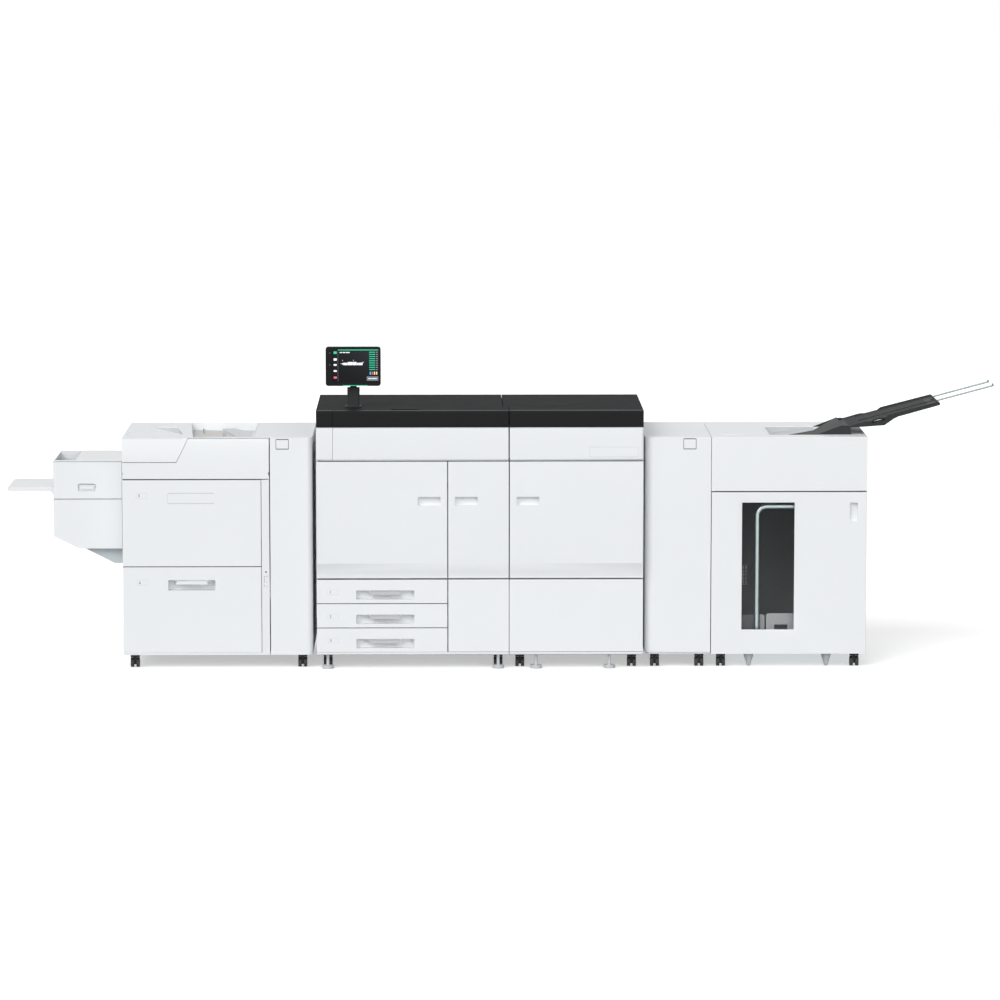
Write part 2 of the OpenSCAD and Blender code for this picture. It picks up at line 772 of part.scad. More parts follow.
module feeder_corner_cover() in_white() intersection() {
    along_x(feeder_x0, feeder_x0 + corner_top_w) lean_outline(corner_z + seam / 2, unit_h - skin, seam);
    along_y(-cut, cover_back_y + cut) polygon([
        [feeder_x0, corner_z], [feeder_x0 + corner_low_w - seam, corner_z],
        [feeder_x0 + corner_top_w - seam, unit_h], [feeder_x0, unit_h]]);
}

module feeder_front_cover() in_white() {
    difference() {
        along_x(feeder_x0, strip_x1) lean_outline(cover_seam_z + seam / 2, unit_h - skin - seam,
        hinge_back);
        along_y(-cut, cover_back_y + cut) polygon([
        [feeder_x0 - cut, corner_z - seam / 2], [feeder_x0 + corner_low_w, corner_z - seam / 2],
        [feeder_x0 + corner_top_w, unit_h], [feeder_x0 - cut, unit_h]]);
        for (x = [feeder_x0 - cut, strip_x1 - ear_t - running])
        block([x, -cut, cover_seam_z],
        [x + ear_t + running + cut, cover_back_y + cut, cover_seam_z + ear_h + hinge_in]);
        block([feeder_x0 - cut, panel_t - back_gap, cover_seam_z - cut],
        [strip_x1 + cut, cover_back_y + cut, lean_z - skin]);
    }
    bar_x([feeder_x0, cover_pivot[0], cover_pivot[1]], ear_t + running + hinge_in, pin_r);
    bar_x([strip_x1 - ear_t - running - hinge_in, cover_pivot[0], cover_pivot[1]],
        ear_t + running + hinge_in, pin_r);
}

// Catch tray: pit with raised floor, and three-sided ramp beside it
cover_x1 = column_x0 - column_over;
catch_x1 = cover_x1 - 2 * skin;
catch_x0 = catch_x1 - pit_l;
catch_y0 = catch_y + seam;
catch_y1 = unit_d - catch_rear;
pit_z = unit_h - pit_d;
function in_pit(shares) = [for (p = shares) [catch_x0 + pit_l * p[0], unit_d * p[1]]];
// Outline of raised floor in shares of pit's length and unit's depth
land_share = [[0.39, 0.95], [0.6, 0.965], [0.98, 0.65], [0.98, 0.06], [0.74, 0.06], [0.66, 0.495]];
// Outline of steel plate in same shares
plate_share = [[-0.04, 0.97], [0.36, 0.95], [0.62, 0.495], [0.7, 0.06], [0.12, 0.06]];
// Places of posts in same shares, and their heights in shares of pit's depth
post_share = [[0.1, 0.76, 0.62], [0.48, 0.455, 0.62], [0.108, 0.234, 0.62]];
module pit_plan() polygon([
    [catch_x0, catch_y0], [catch_x1, catch_y0], [catch_x1, catch_y1], [catch_x0 - pit_slant, catch_y1]]);
ramp_x0 = feeder_x0 + ramp_in;
ramp_y1 = ramp_y + ramp_l;
ramp_turn = atan2(ramp_run, ramp_l);
module ramp_plan() polygon([[ramp_x0, ramp_y1], [ramp_x0 + ramp_run, ramp_y], [ramp_x0 + ramp_w, ramp_y1]]);
// The space over ramp's floor, which rises away from long side
module over_ramp() {
    w = ramp_w * cos(ramp_turn);
    translate([ramp_x0, ramp_y1, unit_h]) rotate([0, 0, ramp_turn]) along_y(-ramp_l * 2, ramp_l)
        polygon([[-w, ramp_d], [-w, seam - 2 * ramp_d], [2 * w, ramp_d - 2 * seam], [2 * w, ramp_d]]);
}

module top_plate(x0, x1) {
    block([x0, cover_back_y + seam, unit_h - 2 * skin], [x1, unit_d, unit_h]);
    block([x0, lean_d, unit_h - skin + seam / 2], [x1, cover_back_y + 2 * seam, unit_h]);
}

module feeder_top_cover() in_white() {
    difference() {
        union() {
        top_plate(feeder_x0, cover_x1 - seam);
        upright(pit_z - skin, unit_h) offset(delta = skin) pit_plan();
        upright(unit_h - ramp_d - skin, unit_h) offset(delta = skin) ramp_plan();
        }
        upright(pit_z, unit_h + cut) pit_plan();
        intersection() {
        upright(unit_h - 2 * ramp_d, unit_h + cut) ramp_plan();
        over_ramp();
        }
    }
    upright(pit_z, pit_z + land_h) polygon(in_pit(land_share));
}

post_r = skin * 1.5;
module catch_plate() in_steel() {
    upright(pit_z, pit_z + box_t) polygon(in_pit(plate_share));
    for (p = post_share) translate([catch_x0 + pit_l * p[0], unit_d * p[1], pit_z + box_t])
        cylinder(h = pit_d * p[2], r = post_r);
}

module drawer_front(z0, z1, pocket_top) {
    drawer([feeder_x0, 0, z0], [drawer_x1, panel_t, z1], panel_t,
        [drawer_box_x0, panel_t, z0 + box_lift], [drawer_box_x1, box_d, z0 + box_lift + box_h]);
    pocket_housing(grip_x0, grip_x1, pocket_top - grip_h, pocket_top, panel_t - skin,
        grip_d - panel_t + skin);
}

flap_t = skin;
flap_z = grip_up_z - running - barrel_r;
module feeder_upper_drawer() in_white() {
    difference() {
        drawer_front(upper_z0, upper_z1, grip_up_z);
        pocket_hollow(grip_x0, grip_x1, grip_up_z - grip_h, grip_up_z, 0, grip_d);
        bar_x([grip_x0 - lug_t, barrel_r + seam, flap_z], grip_w + 2 * lug_t,
        paddle_pin_r + pin_gap);
    }
}

module upper_drawer_flap() in_white() {
    bar_x([grip_x0 + pocket_r, barrel_r + seam, flap_z], grip_w - 2 * pocket_r, barrel_r);
    bar_x([grip_x0 - lug_t + running, barrel_r + seam, flap_z],
        grip_w + 2 * lug_t - 2 * running, paddle_pin_r);
    along_y(seam, seam + flap_t) rounded([grip_x0 + running * 2, grip_up_z - grip_h + running * 2],
        [grip_x1 - running * 2, flap_z], pocket_r);
}

module lift_plate(z0) {
    z = z0 + box_lift + box_t + running;
    block([drawer_box_x0 + box_t + seam, panel_t + grip_d, z],
        [drawer_box_x1 - box_t - seam, box_d - box_t - seam, z + box_t]);
}
module upper_lift_plate() in_steel() lift_plate(upper_z0);
module lower_lift_plate() in_steel() lift_plate(lower_z0);

lower_paddle_x = [(grip_x0 + grip_x1 - paddle_w) / 2, (grip_x0 + grip_x1 + paddle_w) / 2];
paddle_y = barrel_r + skin;
paddle_down = barrel_r + running;
module feeder_lower_drawer() in_white() {
    difference() {
        drawer_front(lower_z0, lower_z1, grip_low_z);
        pocket_hollow(grip_x0, grip_x1, grip_low_z - grip_h, grip_low_z, 0, grip_d);
    }
    paddle_lugs(lower_paddle_x[0], lower_paddle_x[1], paddle_y, grip_low_z - paddle_down, grip_low_z);
}
module lower_drawer_paddle() in_white()
    grip_paddle(lower_paddle_x[0], lower_paddle_x[1], paddle_y, grip_low_z - paddle_down);

module column_plan() plan([column_x0, 0], [feeder_x1, unit_d], column_r, left = false);
// Places of three small slots along column's top plate, in shares of depth
top_slot_share = [0.217, 0.406, 0.724];
module feeder_column() in_white() difference() {
    union() {
        upright(skirt_z, unit_h) column_plan();
        top_plate(cover_x1, column_x0 + skin);
    }
    upright(base_z1, unit_h - skin) offset(delta = -skin) column_plan();
    louvres(column_x0, feeder_x1, unit_d);
    for (p = top_slot_share)
        block([cover_x1 - cut, unit_d * p - panel_t / 2, unit_h - skin],
        [cover_x1 + 2 * skin, unit_d * p + panel_t / 2, unit_h + cut]);
}

// Engine
upper_z_low = upper_seam_z + seam;
door_z0 = door_low_z;
door_z1 = upper_seam_z - leaf_t - 2 * running;
left_door_x1 = left_x0 + left_door_w;
middle_door_x0 = left_door_x1 + seam * 1.5;
deck_z = door_low_z - seam;
fuser_z = (deck_z + upper_seam_z) / 2 + fuser_r * 3 / 4;
covers_z1 = deck_z - leaf_t - seam;
toner_x0 = left_x0 + side_strip_w + seam;
toner_x1 = left_x1 - seam;
toner_pivot = [engine_y0 + bevel_d + pin_r * 2, upper_z_low + hinge_in];
rim_y = engine_y0 + rim_d;
shell_y = engine_y0 + cover_shell_d;

module engine_walls(x0, x1) {
    block([x0, core_y, skirt_z], [x1, engine_y1 - frame_t, base_z1]);
    block([x0, tray_y0, skirt_z + base_t / 2], [x1, core_y, trays_z - seam / 2]);
    for (x = [x0, x1 - frame_t])
        block([x, core_y, base_z1], [x + frame_t, engine_y1 - frame_t, fascia_z - line_h]);
    difference() {
        block([x0, engine_y1 - frame_t, skirt_z], [x1, engine_y1, fascia_z - line_h]);
        louvres(x0, x1, engine_y1);
    }
    block([x0 + frame_t, core_y, deck_z - frame_t], [x1 - frame_t, engine_y1 - frame_t, deck_z]);
    block([x0 + frame_t, core_y, upper_seam_z - frame_t],
        [x1 - frame_t, engine_y1 - frame_t, upper_seam_z]);
}

tray_wall_x = middle_door_x0;
tray_box_x0 = left_x0 + frame_t + rail_w + running;
tray_box_x1 = tray_wall_x - rail_w - running;
function tray_z0(i) = trays_z + (trays_n - i) * tray_pitch;
tray_rail_h = rail_h / 2;
module engine_frame() in_white() {
    engine_walls(left_x0, left_x1);
    engine_walls(right_x0, right_x1);
    block([tray_wall_x, core_y, base_z1],
        [tray_wall_x + frame_t, engine_y1 - frame_t, deck_z - frame_t]);
    for (i = [1 : trays_n]) for (x = [left_x0 + frame_t, tray_wall_x - rail_w])
        block([x, core_y, tray_z0(i) + tray_front_h / 3],
        [x + rail_w, engine_y1 - frame_t, tray_z0(i) + tray_front_h / 3 + tray_rail_h]);
    dock(left_x1, right_x0);
    dock(right_x1, decurler_x0);
}

module door_profile() polygon([
    [engine_y0, door_z1], [engine_y0, band_top_z], [engine_y0 + band_in, band_low_z],
    [engine_y0 + band_in, door_z0], [engine_y0 + door_t, door_z0], [engine_y0 + door_t, door_z1]]);

// The engine's outer front corners seen from above, over a cover from x0 to x1
module corner_plan(x0, x1, y1, r)
    plan([x0, engine_y0], [x1, y1], r, left = x0 == left_x0, right = x1 == right_x1);

// A door of engine: free is side of free edge, -1 left or 1 right
module engine_door(x0, x1, free) {
    hinge_x = free > 0 ? x0 + hinge_in : x1 - hinge_in;
    grip0 = free > 0 ? x1 - pocket_in - pocket_w : x0 + pocket_in;
    difference() {
        intersection() {
        along_x(x0, x1) door_profile();
        upright(door_z0, door_z1) corner_plan(x0, x1, engine_y0 + door_t, edge_r / 2);
        }
        pocket_hollow(grip0, grip0 + pocket_w, pocket_z, pocket_z + pocket_h, engine_y0, pocket_d);
        hinge_bores(hinge_x, engine_y0 + hinge_back, door_z0, door_z1);
        door_recess(x0 + dock_w, (x0 + x1 - dock_w) / 2);
        door_recess((x0 + x1 + dock_w) / 2, x1 - dock_w);
    }
}
// Flat recesses in back of a door
module door_recess(x0, x1) along_y(engine_y0 + door_t - back_gap, engine_y0 + door_t + cut)
    rounded([x0, band_top_z], [x1, pocket_z - dock_w], edge_r);
module left_door() in_white() engine_door(left_x0, left_door_x1, 1);
module middle_door() in_white() engine_door(middle_door_x0, left_x1, -1);
module right_door() in_white() engine_door(right_x0, right_x1, -1);

module door_hinges() in_steel() {
    for (x = [left_x0 + hinge_in, left_x1 - hinge_in, right_x1 - hinge_in])
        hinge_leaf(x, engine_y0 + hinge_back, door_z1 + running, core_y, -1);
    hinge_leaf(stacker_x0 + hinge_in, hinge_back, stacker_door_z1 + running, bay_y, -1);
    hinge_leaf(bypass_hinge[0], bypass_hinge[1], bypass_door_z1 + running, cheek_y, -1);
}

// An upper cover from side, with groove of light line
module strip_outline(y_back) polygon(concat(
    [[engine_y0 + bevel_d, upper_z_low], [engine_y0, upper_z_low + bevel_h],
     [engine_y0, fascia_z - line_h], [engine_y0 + line_d, fascia_z - line_h],
     [engine_y0 + line_d, fascia_z], [engine_y0, fascia_z]],
    arc([engine_y0 + top_r, engine_h - top_r], top_r, 180, 90),
    [[y_back, engine_h], [y_back, engine_h - skin],
     [shell_y, engine_h - skin - cover_shell_d / 2], [shell_y, upper_z_low]]));
module upper_cover(x0, x1, y_back) intersection() {
    along_x(x0, x1) strip_outline(y_back);
    upright(upper_z_low, engine_h) corner_plan(x0, x1, y_back, edge_r);
}

toner_pin_l = hinge_in;
module upper_left_strip() in_white() {
    upper_cover(left_x0, toner_x0 - seam, rim_y + seam);
    bar_x([toner_x0 - seam - toner_pin_l, toner_pivot[0], toner_pivot[1]], seam + 2 * toner_pin_l, pin_r);
}

module upper_right_cover() in_white() {
    upper_cover(right_x0, right_x1, rim_y + seam);
    bar_x([toner_x1 - toner_pin_l, toner_pivot[0], toner_pivot[1]],
        right_x0 - toner_x1 + 2 * toner_pin_l, pin_r);
}

module toner_cover() in_white() difference() {
    upper_cover(toner_x0, toner_x1, rim_y - seam);
    for (x = [toner_x0 - cut, toner_x1 - toner_pin_l - cut])
        bar_x([x, toner_pivot[0], toner_pivot[1]], toner_pin_l + 2 * cut, pin_r + pin_gap);
}

// Black tops: gap between them jogs to left behind their front strip
top_y0 = rim_y + seam;
module left_top_plan() polygon([
    [left_x0, top_y0], [left_x1, top_y0], [left_x1, jog_y], [left_x1 - jog_w, jog_y],
    [left_x1 - jog_w, engine_y1], [left_x0, engine_y1]]);
module right_top_plan() polygon([
    [right_x0, top_y0], [right_x1, top_y0], [right_x1, engine_y1], [right_x0 - jog_w, engine_y1],
    [right_x0 - jog_w, jog_y + block_gap], [right_x0, jog_y + block_gap]]);
module black_top() difference() {
    upright(fascia_z - line_h, engine_h) children();
    upright(fascia_z - line_h - cut, engine_h - skin) offset(delta = -skin) children();
    block([left_x0 - cut, top_y0 - cut, fascia_z - line_h - cut],
        [right_x1 + cut, top_y0 + skin + cut, fascia_z]);
    block([left_x0 - cut, top_seam_y, engine_h - seam], [right_x1 + cut, top_seam_y + seam,
        engine_h + cut]);
}
top_grip_x0 = left_x0 + (left_w - top_grip_w) * top_grip_place_share;
module engine_top_left() in_black() difference() {
    union() {
        black_top() left_top_plan();
        block([top_grip_x0 - skin, top_y0, engine_h - top_grip_d - skin],
        [top_grip_x0 + top_grip_w + skin, top_y0 + top_grip_l + skin, engine_h - skin]);
    }
    block([top_grip_x0, top_y0 - cut, engine_h - top_grip_d],
        [top_grip_x0 + top_grip_w, top_y0 + top_grip_l, engine_h + cut]);
}
module engine_top_right() in_black() black_top() right_top_plan();

tray_paddle_y = tray_y0 + barrel_r + skin / 2;
function tray_grip_z1(i) = tray_z0(i) + tray_grip_up + tray_grip_h;
tray_grip_x0 = left_x0 + (left_door_w - tray_grip_w) * tray_grip_place_share;
tray_grip_x1 = tray_grip_x0 + tray_grip_w;
tray_paddle_x0 = (tray_grip_x0 + tray_grip_x1 - tray_paddle_w) / 2;
tray_paddle_x1 = tray_paddle_x0 + tray_paddle_w;
module paper_tray(i) {
    z0 = tray_z0(i);
    z1 = tray_grip_z1(i);
    difference() {
        union() {
        drawer([left_x0, tray_y0, z0], [left_door_x1, tray_y1, z0 + tray_front_h], tray_y1,
        [tray_box_x0, tray_y1, z0 + frame_t],
        [tray_box_x1, tray_box_y1, z0 + frame_t + tray_box_h]);
        pocket_housing(tray_grip_x0, tray_grip_x1, z1 - tray_grip_h, z1, tray_y1 - skin,
        tray_y0 + tray_grip_d - tray_y1 + skin);
        }
        pocket_hollow(tray_grip_x0, tray_grip_x1, z1 - tray_grip_h, z1, tray_y0, tray_grip_d);
    }
    paddle_lugs(tray_paddle_x0, tray_paddle_x1, tray_paddle_y, z1 - paddle_down, z1);
}
module tray_paddle(i)
    grip_paddle(tray_paddle_x0, tray_paddle_x1, tray_paddle_y, tray_grip_z1(i) - paddle_down);
module paper_tray_1() in_white() paper_tray(1);
module paper_tray_2() in_white() paper_tray(2);
module paper_tray_3() in_white() paper_tray(3);
module tray_paddle_1() in_white() tray_paddle(1);
module tray_paddle_2() in_white() tray_paddle(2);
module tray_paddle_3() in_white() tray_paddle(3);

module lower_covers() in_white() {
    block([middle_door_x0, tray_y0, trays_z], [left_x1, core_y, covers_z1]);
    block([right_x0, tray_y0, trays_z], [right_x1, core_y, covers_z1]);
}

inner_y = core_y + frame_t;
station_pitch = (left_w - 2 * side_strip_w) / stations_n;
function station_x(i) = left_x0 + side_strip_w + station_pitch * (i - 0.5);
module inner_covers() in_shade() difference() {
    for (x = [[left_x0, left_x1], [right_x0, right_x1]])
        block([x[0] + frame_t, inner_y, deck_z], [x[1] - frame_t, inner_y + skin,
        upper_seam_z - frame_t]);
    for (i = [1 : stations_n]) bar_y([station_x(i), inner_y - cut, drum_z], skin + 2 * cut,
        drum_r + running);
    along_y(inner_y - cut, inner_y + skin + cut)
        rounded([station_x(1) - belt_r, belt_z - belt_r - back_gap],
        [station_x(stations_n) + belt_r, belt_z + belt_r + back_gap], belt_r);
    along_y(inner_y - cut, inner_y + skin + cut)
        rounded([right_x0 + right_w / 6, fuser_z - 4 * fuser_r], [right_x1 - right_w / 4,
        fuser_z + 2 * fuser_r], edge_r);
}

// Toner cartridges under toner cover
toner_z = upper_seam_z + toner_r;
module toner_cartridges() in_dark() for (i = [1 : stations_n]) {
    bar_y([station_x(i), core_y, toner_z], toner_l, toner_r);
    bar_y([station_x(i), core_y - back_gap, toner_z], 2 * back_gap, toner_r - edge_r);
}

module drum_units() in_dark() for (i = [1 : stations_n]) {
    bar_y([station_x(i), inner_y, drum_z], drum_l, drum_r);
    bar_y([station_x(i), inner_y - back_gap, drum_z], 2 * back_gap, drum_r / 3);
}

belt_z = drum_z - drum_r - belt_r - running;
module transfer_belt() in_dark() difference() {
    along_y(inner_y + skin, inner_y + drum_l)
        rounded([station_x(1) - belt_r, belt_z - belt_r], [station_x(stations_n) + belt_r,
        belt_z + belt_r], belt_r - cut);
    along_y(inner_y, inner_y + drum_l + cut)
        rounded([station_x(1) - belt_r + belt_t, belt_z - belt_r + belt_t],
        [station_x(stations_n) + belt_r - belt_t, belt_z + belt_r - belt_t], belt_r - belt_t - cut);
}

// Fuser in right block
fuser_x = right_x0 + right_w * 0.4;
fuser_y0 = inner_y + skin + back_gap;
fuser_shaft_r = fuser_r / 3;
pressure_z = fuser_z - 2 * fuser_r - running;
module fuser_housing() in_dark() {
    for (x = [fuser_x - 3 * fuser_r, fuser_x + 3 * fuser_r - frame_t])
        block([x, fuser_y0, deck_z], [x + frame_t, fuser_y0 + fuser_l + 4 * frame_t,
        fuser_z - 4 * fuser_r]);
    fuser_case();
}
module fuser_case() difference() {
    block([fuser_x - 3 * fuser_r, fuser_y0, fuser_z - 4 * fuser_r], [fuser_x + 3 * fuser_r,
        fuser_y0 + fuser_l + 4 * frame_t, fuser_z + 2 * fuser_r]);
    block([fuser_x - 2 * fuser_r, fuser_y0 + 2 * frame_t, fuser_z - 3.5 * fuser_r],
        [fuser_x + 2 * fuser_r, fuser_y0 + fuser_l + 2 * frame_t, fuser_z + 3 * fuser_r]);
    for (z = [fuser_z, pressure_z])
        bar_y([fuser_x, fuser_y0 - cut, z], fuser_l + 4 * frame_t + 2 * cut, fuser_shaft_r + pin_gap);
}
module fuser_bar(z) {
    bar_y([fuser_x, fuser_y0 + 2 * frame_t + running, z], fuser_l - 2 * running, fuser_r);
    bar_y([fuser_x, fuser_y0, z], fuser_l + 4 * frame_t, fuser_shaft_r);
}
module fuser_roller() in_dark() fuser_bar(fuser_z);
module pressure_roller() in_steel() fuser_bar(pressure_z);

// Touch panel
mast_x = left_x0 + screen_x;
mast_top_z = screen_z - frame_t * 2;
neck_z = screen_z + screen_h / 4;
neck_y = screen_y + screen_t + mast_d / 2;
module panel_mast() in_dark() difference() {
    union() {
        upright(engine_h, engine_h + skin * 2)
        rounded([mast_x - collar_w / 2, mast_y - mast_d], [mast_x + collar_w / 2,
        mast_y + mast_d], edge_r);
        upright(engine_h, mast_top_z) rounded([mast_x - mast_w / 2, mast_y - mast_d / 2],
        [mast_x + mast_w / 2, mast_y + mast_d / 2], edge_r);
    }
    translate([mast_x, mast_y, mast_top_z - pin_l]) cylinder(h = pin_l + cut, r = 2 * pin_r + pin_gap);
}

neck_w = mast_w / 2;
ear_w = frame_t;
module panel_neck() in_dark() {
    translate([mast_x, mast_y, mast_top_z - pin_l + running]) cylinder(h = pin_l + skin, r = 2 * pin_r);
    translate([mast_x, mast_y, mast_top_z + running]) cylinder(h = skin, r = mast_d / 2);
    block([mast_x - neck_w / 2, mast_y - mast_d / 4, mast_top_z + running],
        [mast_x + neck_w / 2, mast_y + mast_d / 4, neck_z]);
    bar_x([mast_x - neck_w / 2, mast_y, neck_z], neck_w, mast_d / 4);
    bar_x([mast_x - neck_w / 2 - ear_w, mast_y, neck_z], neck_w + 2 * ear_w, pin_r);
}

module touch_panel() in_dark() {
    along_y(screen_y, screen_y + screen_t)
        rounded([mast_x - screen_w / 2, screen_z], [mast_x + screen_w / 2, screen_z + screen_h], screen_r);
    along_y(screen_y + screen_t - seam, screen_y + screen_t + bulge_d)
        rounded([mast_x - screen_w / 3, neck_z + mast_d / 2],
        [mast_x + screen_w / 3, screen_z + screen_h - screen_r], screen_r);
    for (x = [mast_x - neck_w / 2 - running - ear_w, mast_x + neck_w / 2 + running]) difference() {
        along_x(x, x + ear_w) union() {
        translate([mast_y, neck_z]) circle(r = mast_d / 4);
        translate([screen_y + screen_t, neck_z - mast_d / 4])
        square([mast_y - screen_y - screen_t, mast_d / 2]);
        }
        bar_x([x - cut, mast_y, neck_z], ear_w + 2 * cut, pin_r + pin_gap);
    }
}

// Decurler
module decurler_plan() plan([decurler_x0, 0], [decurler_x1, unit_d], decurler_r, right = false);
module decurler_housing() in_white() {
    difference() {
        union() {
        upright(skirt_z, skirt_z + plinth_h) offset(delta = -plinth_in) decurler_plan();
        upright(skirt_z + plinth_h, unit_h) decurler_plan();
        }
        upright(base_z1, unit_h - skin) offset(delta = -skin) decurler_plan();
        louvres(decurler_x0, decurler_x1, unit_d);
    }
    dock(decurler_x1, stacker_x0);
}

// Stacker
bay_y = stacker_door_t + back_gap;
stacker_door_z0 = skirt_z;
stacker_door_z1 = top_seam_z - seam - leaf_t;
window_x0 = stacker_x0 + window_in;
window_x1 = window_x0 + window_w;
grip_slot_x0 = stacker_x1 - slot_in - slot_w;
module stacker_frame() in_white() {
    difference() {
        block([stacker_x0, bay_y, skirt_z], [stacker_x1, unit_d, base_z1]);
        block([stacker_x0 + dock_w, bay_y + dock_w, skirt_z - cut],
        [stacker_x1 - dock_w, unit_d - dock_w, base_z1 + cut]);
    }
    for (x = [stacker_x0, stacker_x1 - frame_t])
        block([x, bay_y, base_z1], [x + frame_t, unit_d, unit_h - skin]);
    block([stacker_x0 + frame_t, unit_d - frame_t, base_z1], [stacker_x1 - frame_t, unit_d,
        unit_h - skin]);
    block([stacker_x0 + frame_t, bay_y, top_seam_z],
        [stacker_x1 - frame_t, unit_d - frame_t, top_seam_z + frame_t]);
}

vent_rows_n = 14;
vent_cols_n = 5;
vent_pitch = frame_t + seam;
vent_z = window_z + window_h / 5;
vent_x = window_x0 + frame_t;
liner_y = unit_d - frame_t - skin;
module stacker_liner() in_dark() difference() {
    union() {
        block([stacker_x0 + frame_t, liner_y, base_z1], [stacker_x1 - frame_t, unit_d - frame_t,
        top_seam_z]);
        for (x = [stacker_x0 + frame_t, stacker_x1 - frame_t - skin])
        block([x, bay_y, base_z1], [x + skin, liner_y, top_seam_z]);
        block([stacker_x0 + frame_t + skin, liner_y - dock_w / 2, tube_z - tube_r * 4],
        [stacker_x1 - frame_t - skin, liner_y, tube_z - tube_r * 2]);
    }
    for (i = [0 : vent_rows_n - 1]) for (k = [0 : vent_cols_n - 1])
        block([vent_x + vent_pitch * 2 * k, liner_y - cut, vent_z + vent_pitch * i],
        [vent_x + vent_pitch * (2 * k + 1.5), unit_d - frame_t,
        vent_z + vent_pitch * i + vent_pitch / 2]);
}

module stacker_top_cover() in_white() {
    difference() {
        union() {
        block([stacker_x0, 0, unit_h - skin], [stacker_x1, unit_d, unit_h]);
        along_y(recess_y - skin, recess_y + recess_w + skin) offset(delta = skin) recess_side(0);
        block([lift_grip_x0 - skin, lift_grip_y0 - skin, unit_h - 2 * skin],
        [lift_grip_x1 + skin, lift_grip_y1 + skin, unit_h]);
        }
        along_y(recess_y, recess_y + recess_w) recess_side(cut);
        block([stacker_x0 - cut, -cut, unit_h], [stacker_x1 + cut, unit_d + cut, unit_h + 2 * skin]);
        upright(unit_h - skin / 2, unit_h + cut) {
        for (x = [lift_grip_x0, lift_grip_x1 - lift_grip_bar])
        translate([x, lift_grip_y0]) square([lift_grip_bar, lift_grip_y1 - lift_grip_y0]);
        translate([lift_grip_x0, (lift_grip_y0 + lift_grip_y1 - lift_grip_bar) / 2])
        square([lift_grip_x1 - lift_grip_x0, lift_grip_bar]);
        translate([recess_x0, recess_y / 2]) square([recess_l * 2 / 5, 2 * seam]);
        }
    }
    block([stacker_x0, 0, top_seam_z + seam], [stacker_x1, panel_t, unit_h - skin]);
    block([stacker_x0, panel_t, top_seam_z + frame_t + seam],
        [stacker_x0 + frame_t, bay_y, unit_h - skin]);
}
// The recess under chute: floor rises to right
recess_x0 = stacker_x0 + recess_in;
recess_x1 = recess_x0 + recess_l;
module recess_side(over) polygon([
    [recess_x0, unit_h + over], [recess_x0, unit_h - recess_d],
    [recess_x1, unit_h - skin * 3 / 2], [recess_x1, unit_h + over]]);
// The shallow I-shaped grip mark on stacker's top, in shares of width and depth
lift_grip_share = [0.066, 0.219, 0.1, 0.228];
lift_grip_x0 = stacker_x0 + stacker_w * lift_grip_share[0];
lift_grip_x1 = stacker_x0 + stacker_w * lift_grip_share[1];
lift_grip_y0 = unit_d * lift_grip_share[2];
lift_grip_y1 = unit_d * lift_grip_share[3];
lift_grip_bar = panel_t * 4 / 3;

module stacker_door() in_white() difference() {
    upright(stacker_door_z0, stacker_door_z1) plan([stacker_x0, 0], [stacker_x1, stacker_door_t],
        edge_r / 3);
    along_y(-cut, stacker_door_t + cut) translate([window_x0, window_z]) square([window_w, window_h]);
    along_y(stacker_door_t / 2, stacker_door_t + cut)
        translate([window_x0 - edge_r, window_z - edge_r]) square([window_w + 2 * edge_r,
        window_h + 2 * edge_r]);
    window_frame();
    pocket_hollow(grip_slot_x0, grip_slot_x0 + slot_w, slot_z, slot_z + slot_h, 0, stacker_door_t - skin);
    hinge_bores(stacker_x0 + hinge_in, hinge_back, stacker_door_z0, stacker_door_z1);
}

// The bevelled frame round window
module window_frame() intersection() {
    along_x(window_x0 - window_bevel, window_x1 + window_bevel) polygon([
        [-cut, window_z - window_bevel], [0, window_z - window_bevel], [window_bevel_d, window_z],
        [window_bevel_d, window_z1], [0, window_z1 + window_bevel], [-cut, window_z1 + window_bevel]]);
    upright(window_z - window_bevel, window_z1 + window_bevel) polygon([
        [window_x0 - window_bevel, -cut], [window_x0 - window_bevel, 0], [window_x0, window_bevel_d],
        [window_x1, window_bevel_d], [window_x1 + window_bevel, 0], [window_x1 + window_bevel, -cut]]);
}

module stacker_window() color([0.7, 0.8, 0.8, 0.3]) placed()
    block([window_x0 - edge_r + running, stacker_door_t / 2, window_z - edge_r + running],
        [window_x1 + edge_r - running, stacker_door_t / 2 + glass_t, window_z1 + edge_r - running]);

cart_x0 = stacker_x0 + dock_w;
cart_x1 = stacker_x1 - dock_w;
cart_y0 = bay_y + dock_w;
cart_y1 = unit_d - dock_w;
tube_y = bay_y + 2 * tube_r;
// Places in shares of window's width: tube's upright, two guides' ends, light guide's hole
tube_place_share = 0.3;
guide_share = [[0.02, 0.46], [0.49, 1.04]];
guide_hole_share = 0.65;
tube_x0 = window_x0 + window_w * tube_place_share;
tube_x1 = cart_x1 - dock_w;
cart_z1 = base_z1 + base_t;
module tube_bend(x, turn) translate([x, tube_y, tube_z - bend_r]) rotate([90, 0, 0]) rotate([0, 0, turn])
    rotate_extrude(angle = 90) translate([bend_r, 0]) circle(r = tube_r);
module stacker_cart() in_steel() {
    block([cart_x0 - edge_r, tube_y - 2 * tube_r, base_z1], [cart_x1 + edge_r, cart_y1 + edge_r, cart_z1]);
    for (x = [tube_x0, tube_x1]) translate([x, tube_y, cart_z1])
        cylinder(h = tube_z - bend_r - cart_z1, r = tube_r);
    tube_bend(tube_x0 + bend_r, 90);
    tube_bend(tube_x1 - bend_r, 0);
    bar_x([tube_x0 + bend_r, tube_y, tube_z], tube_x1 - tube_x0 - 2 * bend_r, tube_r);
}

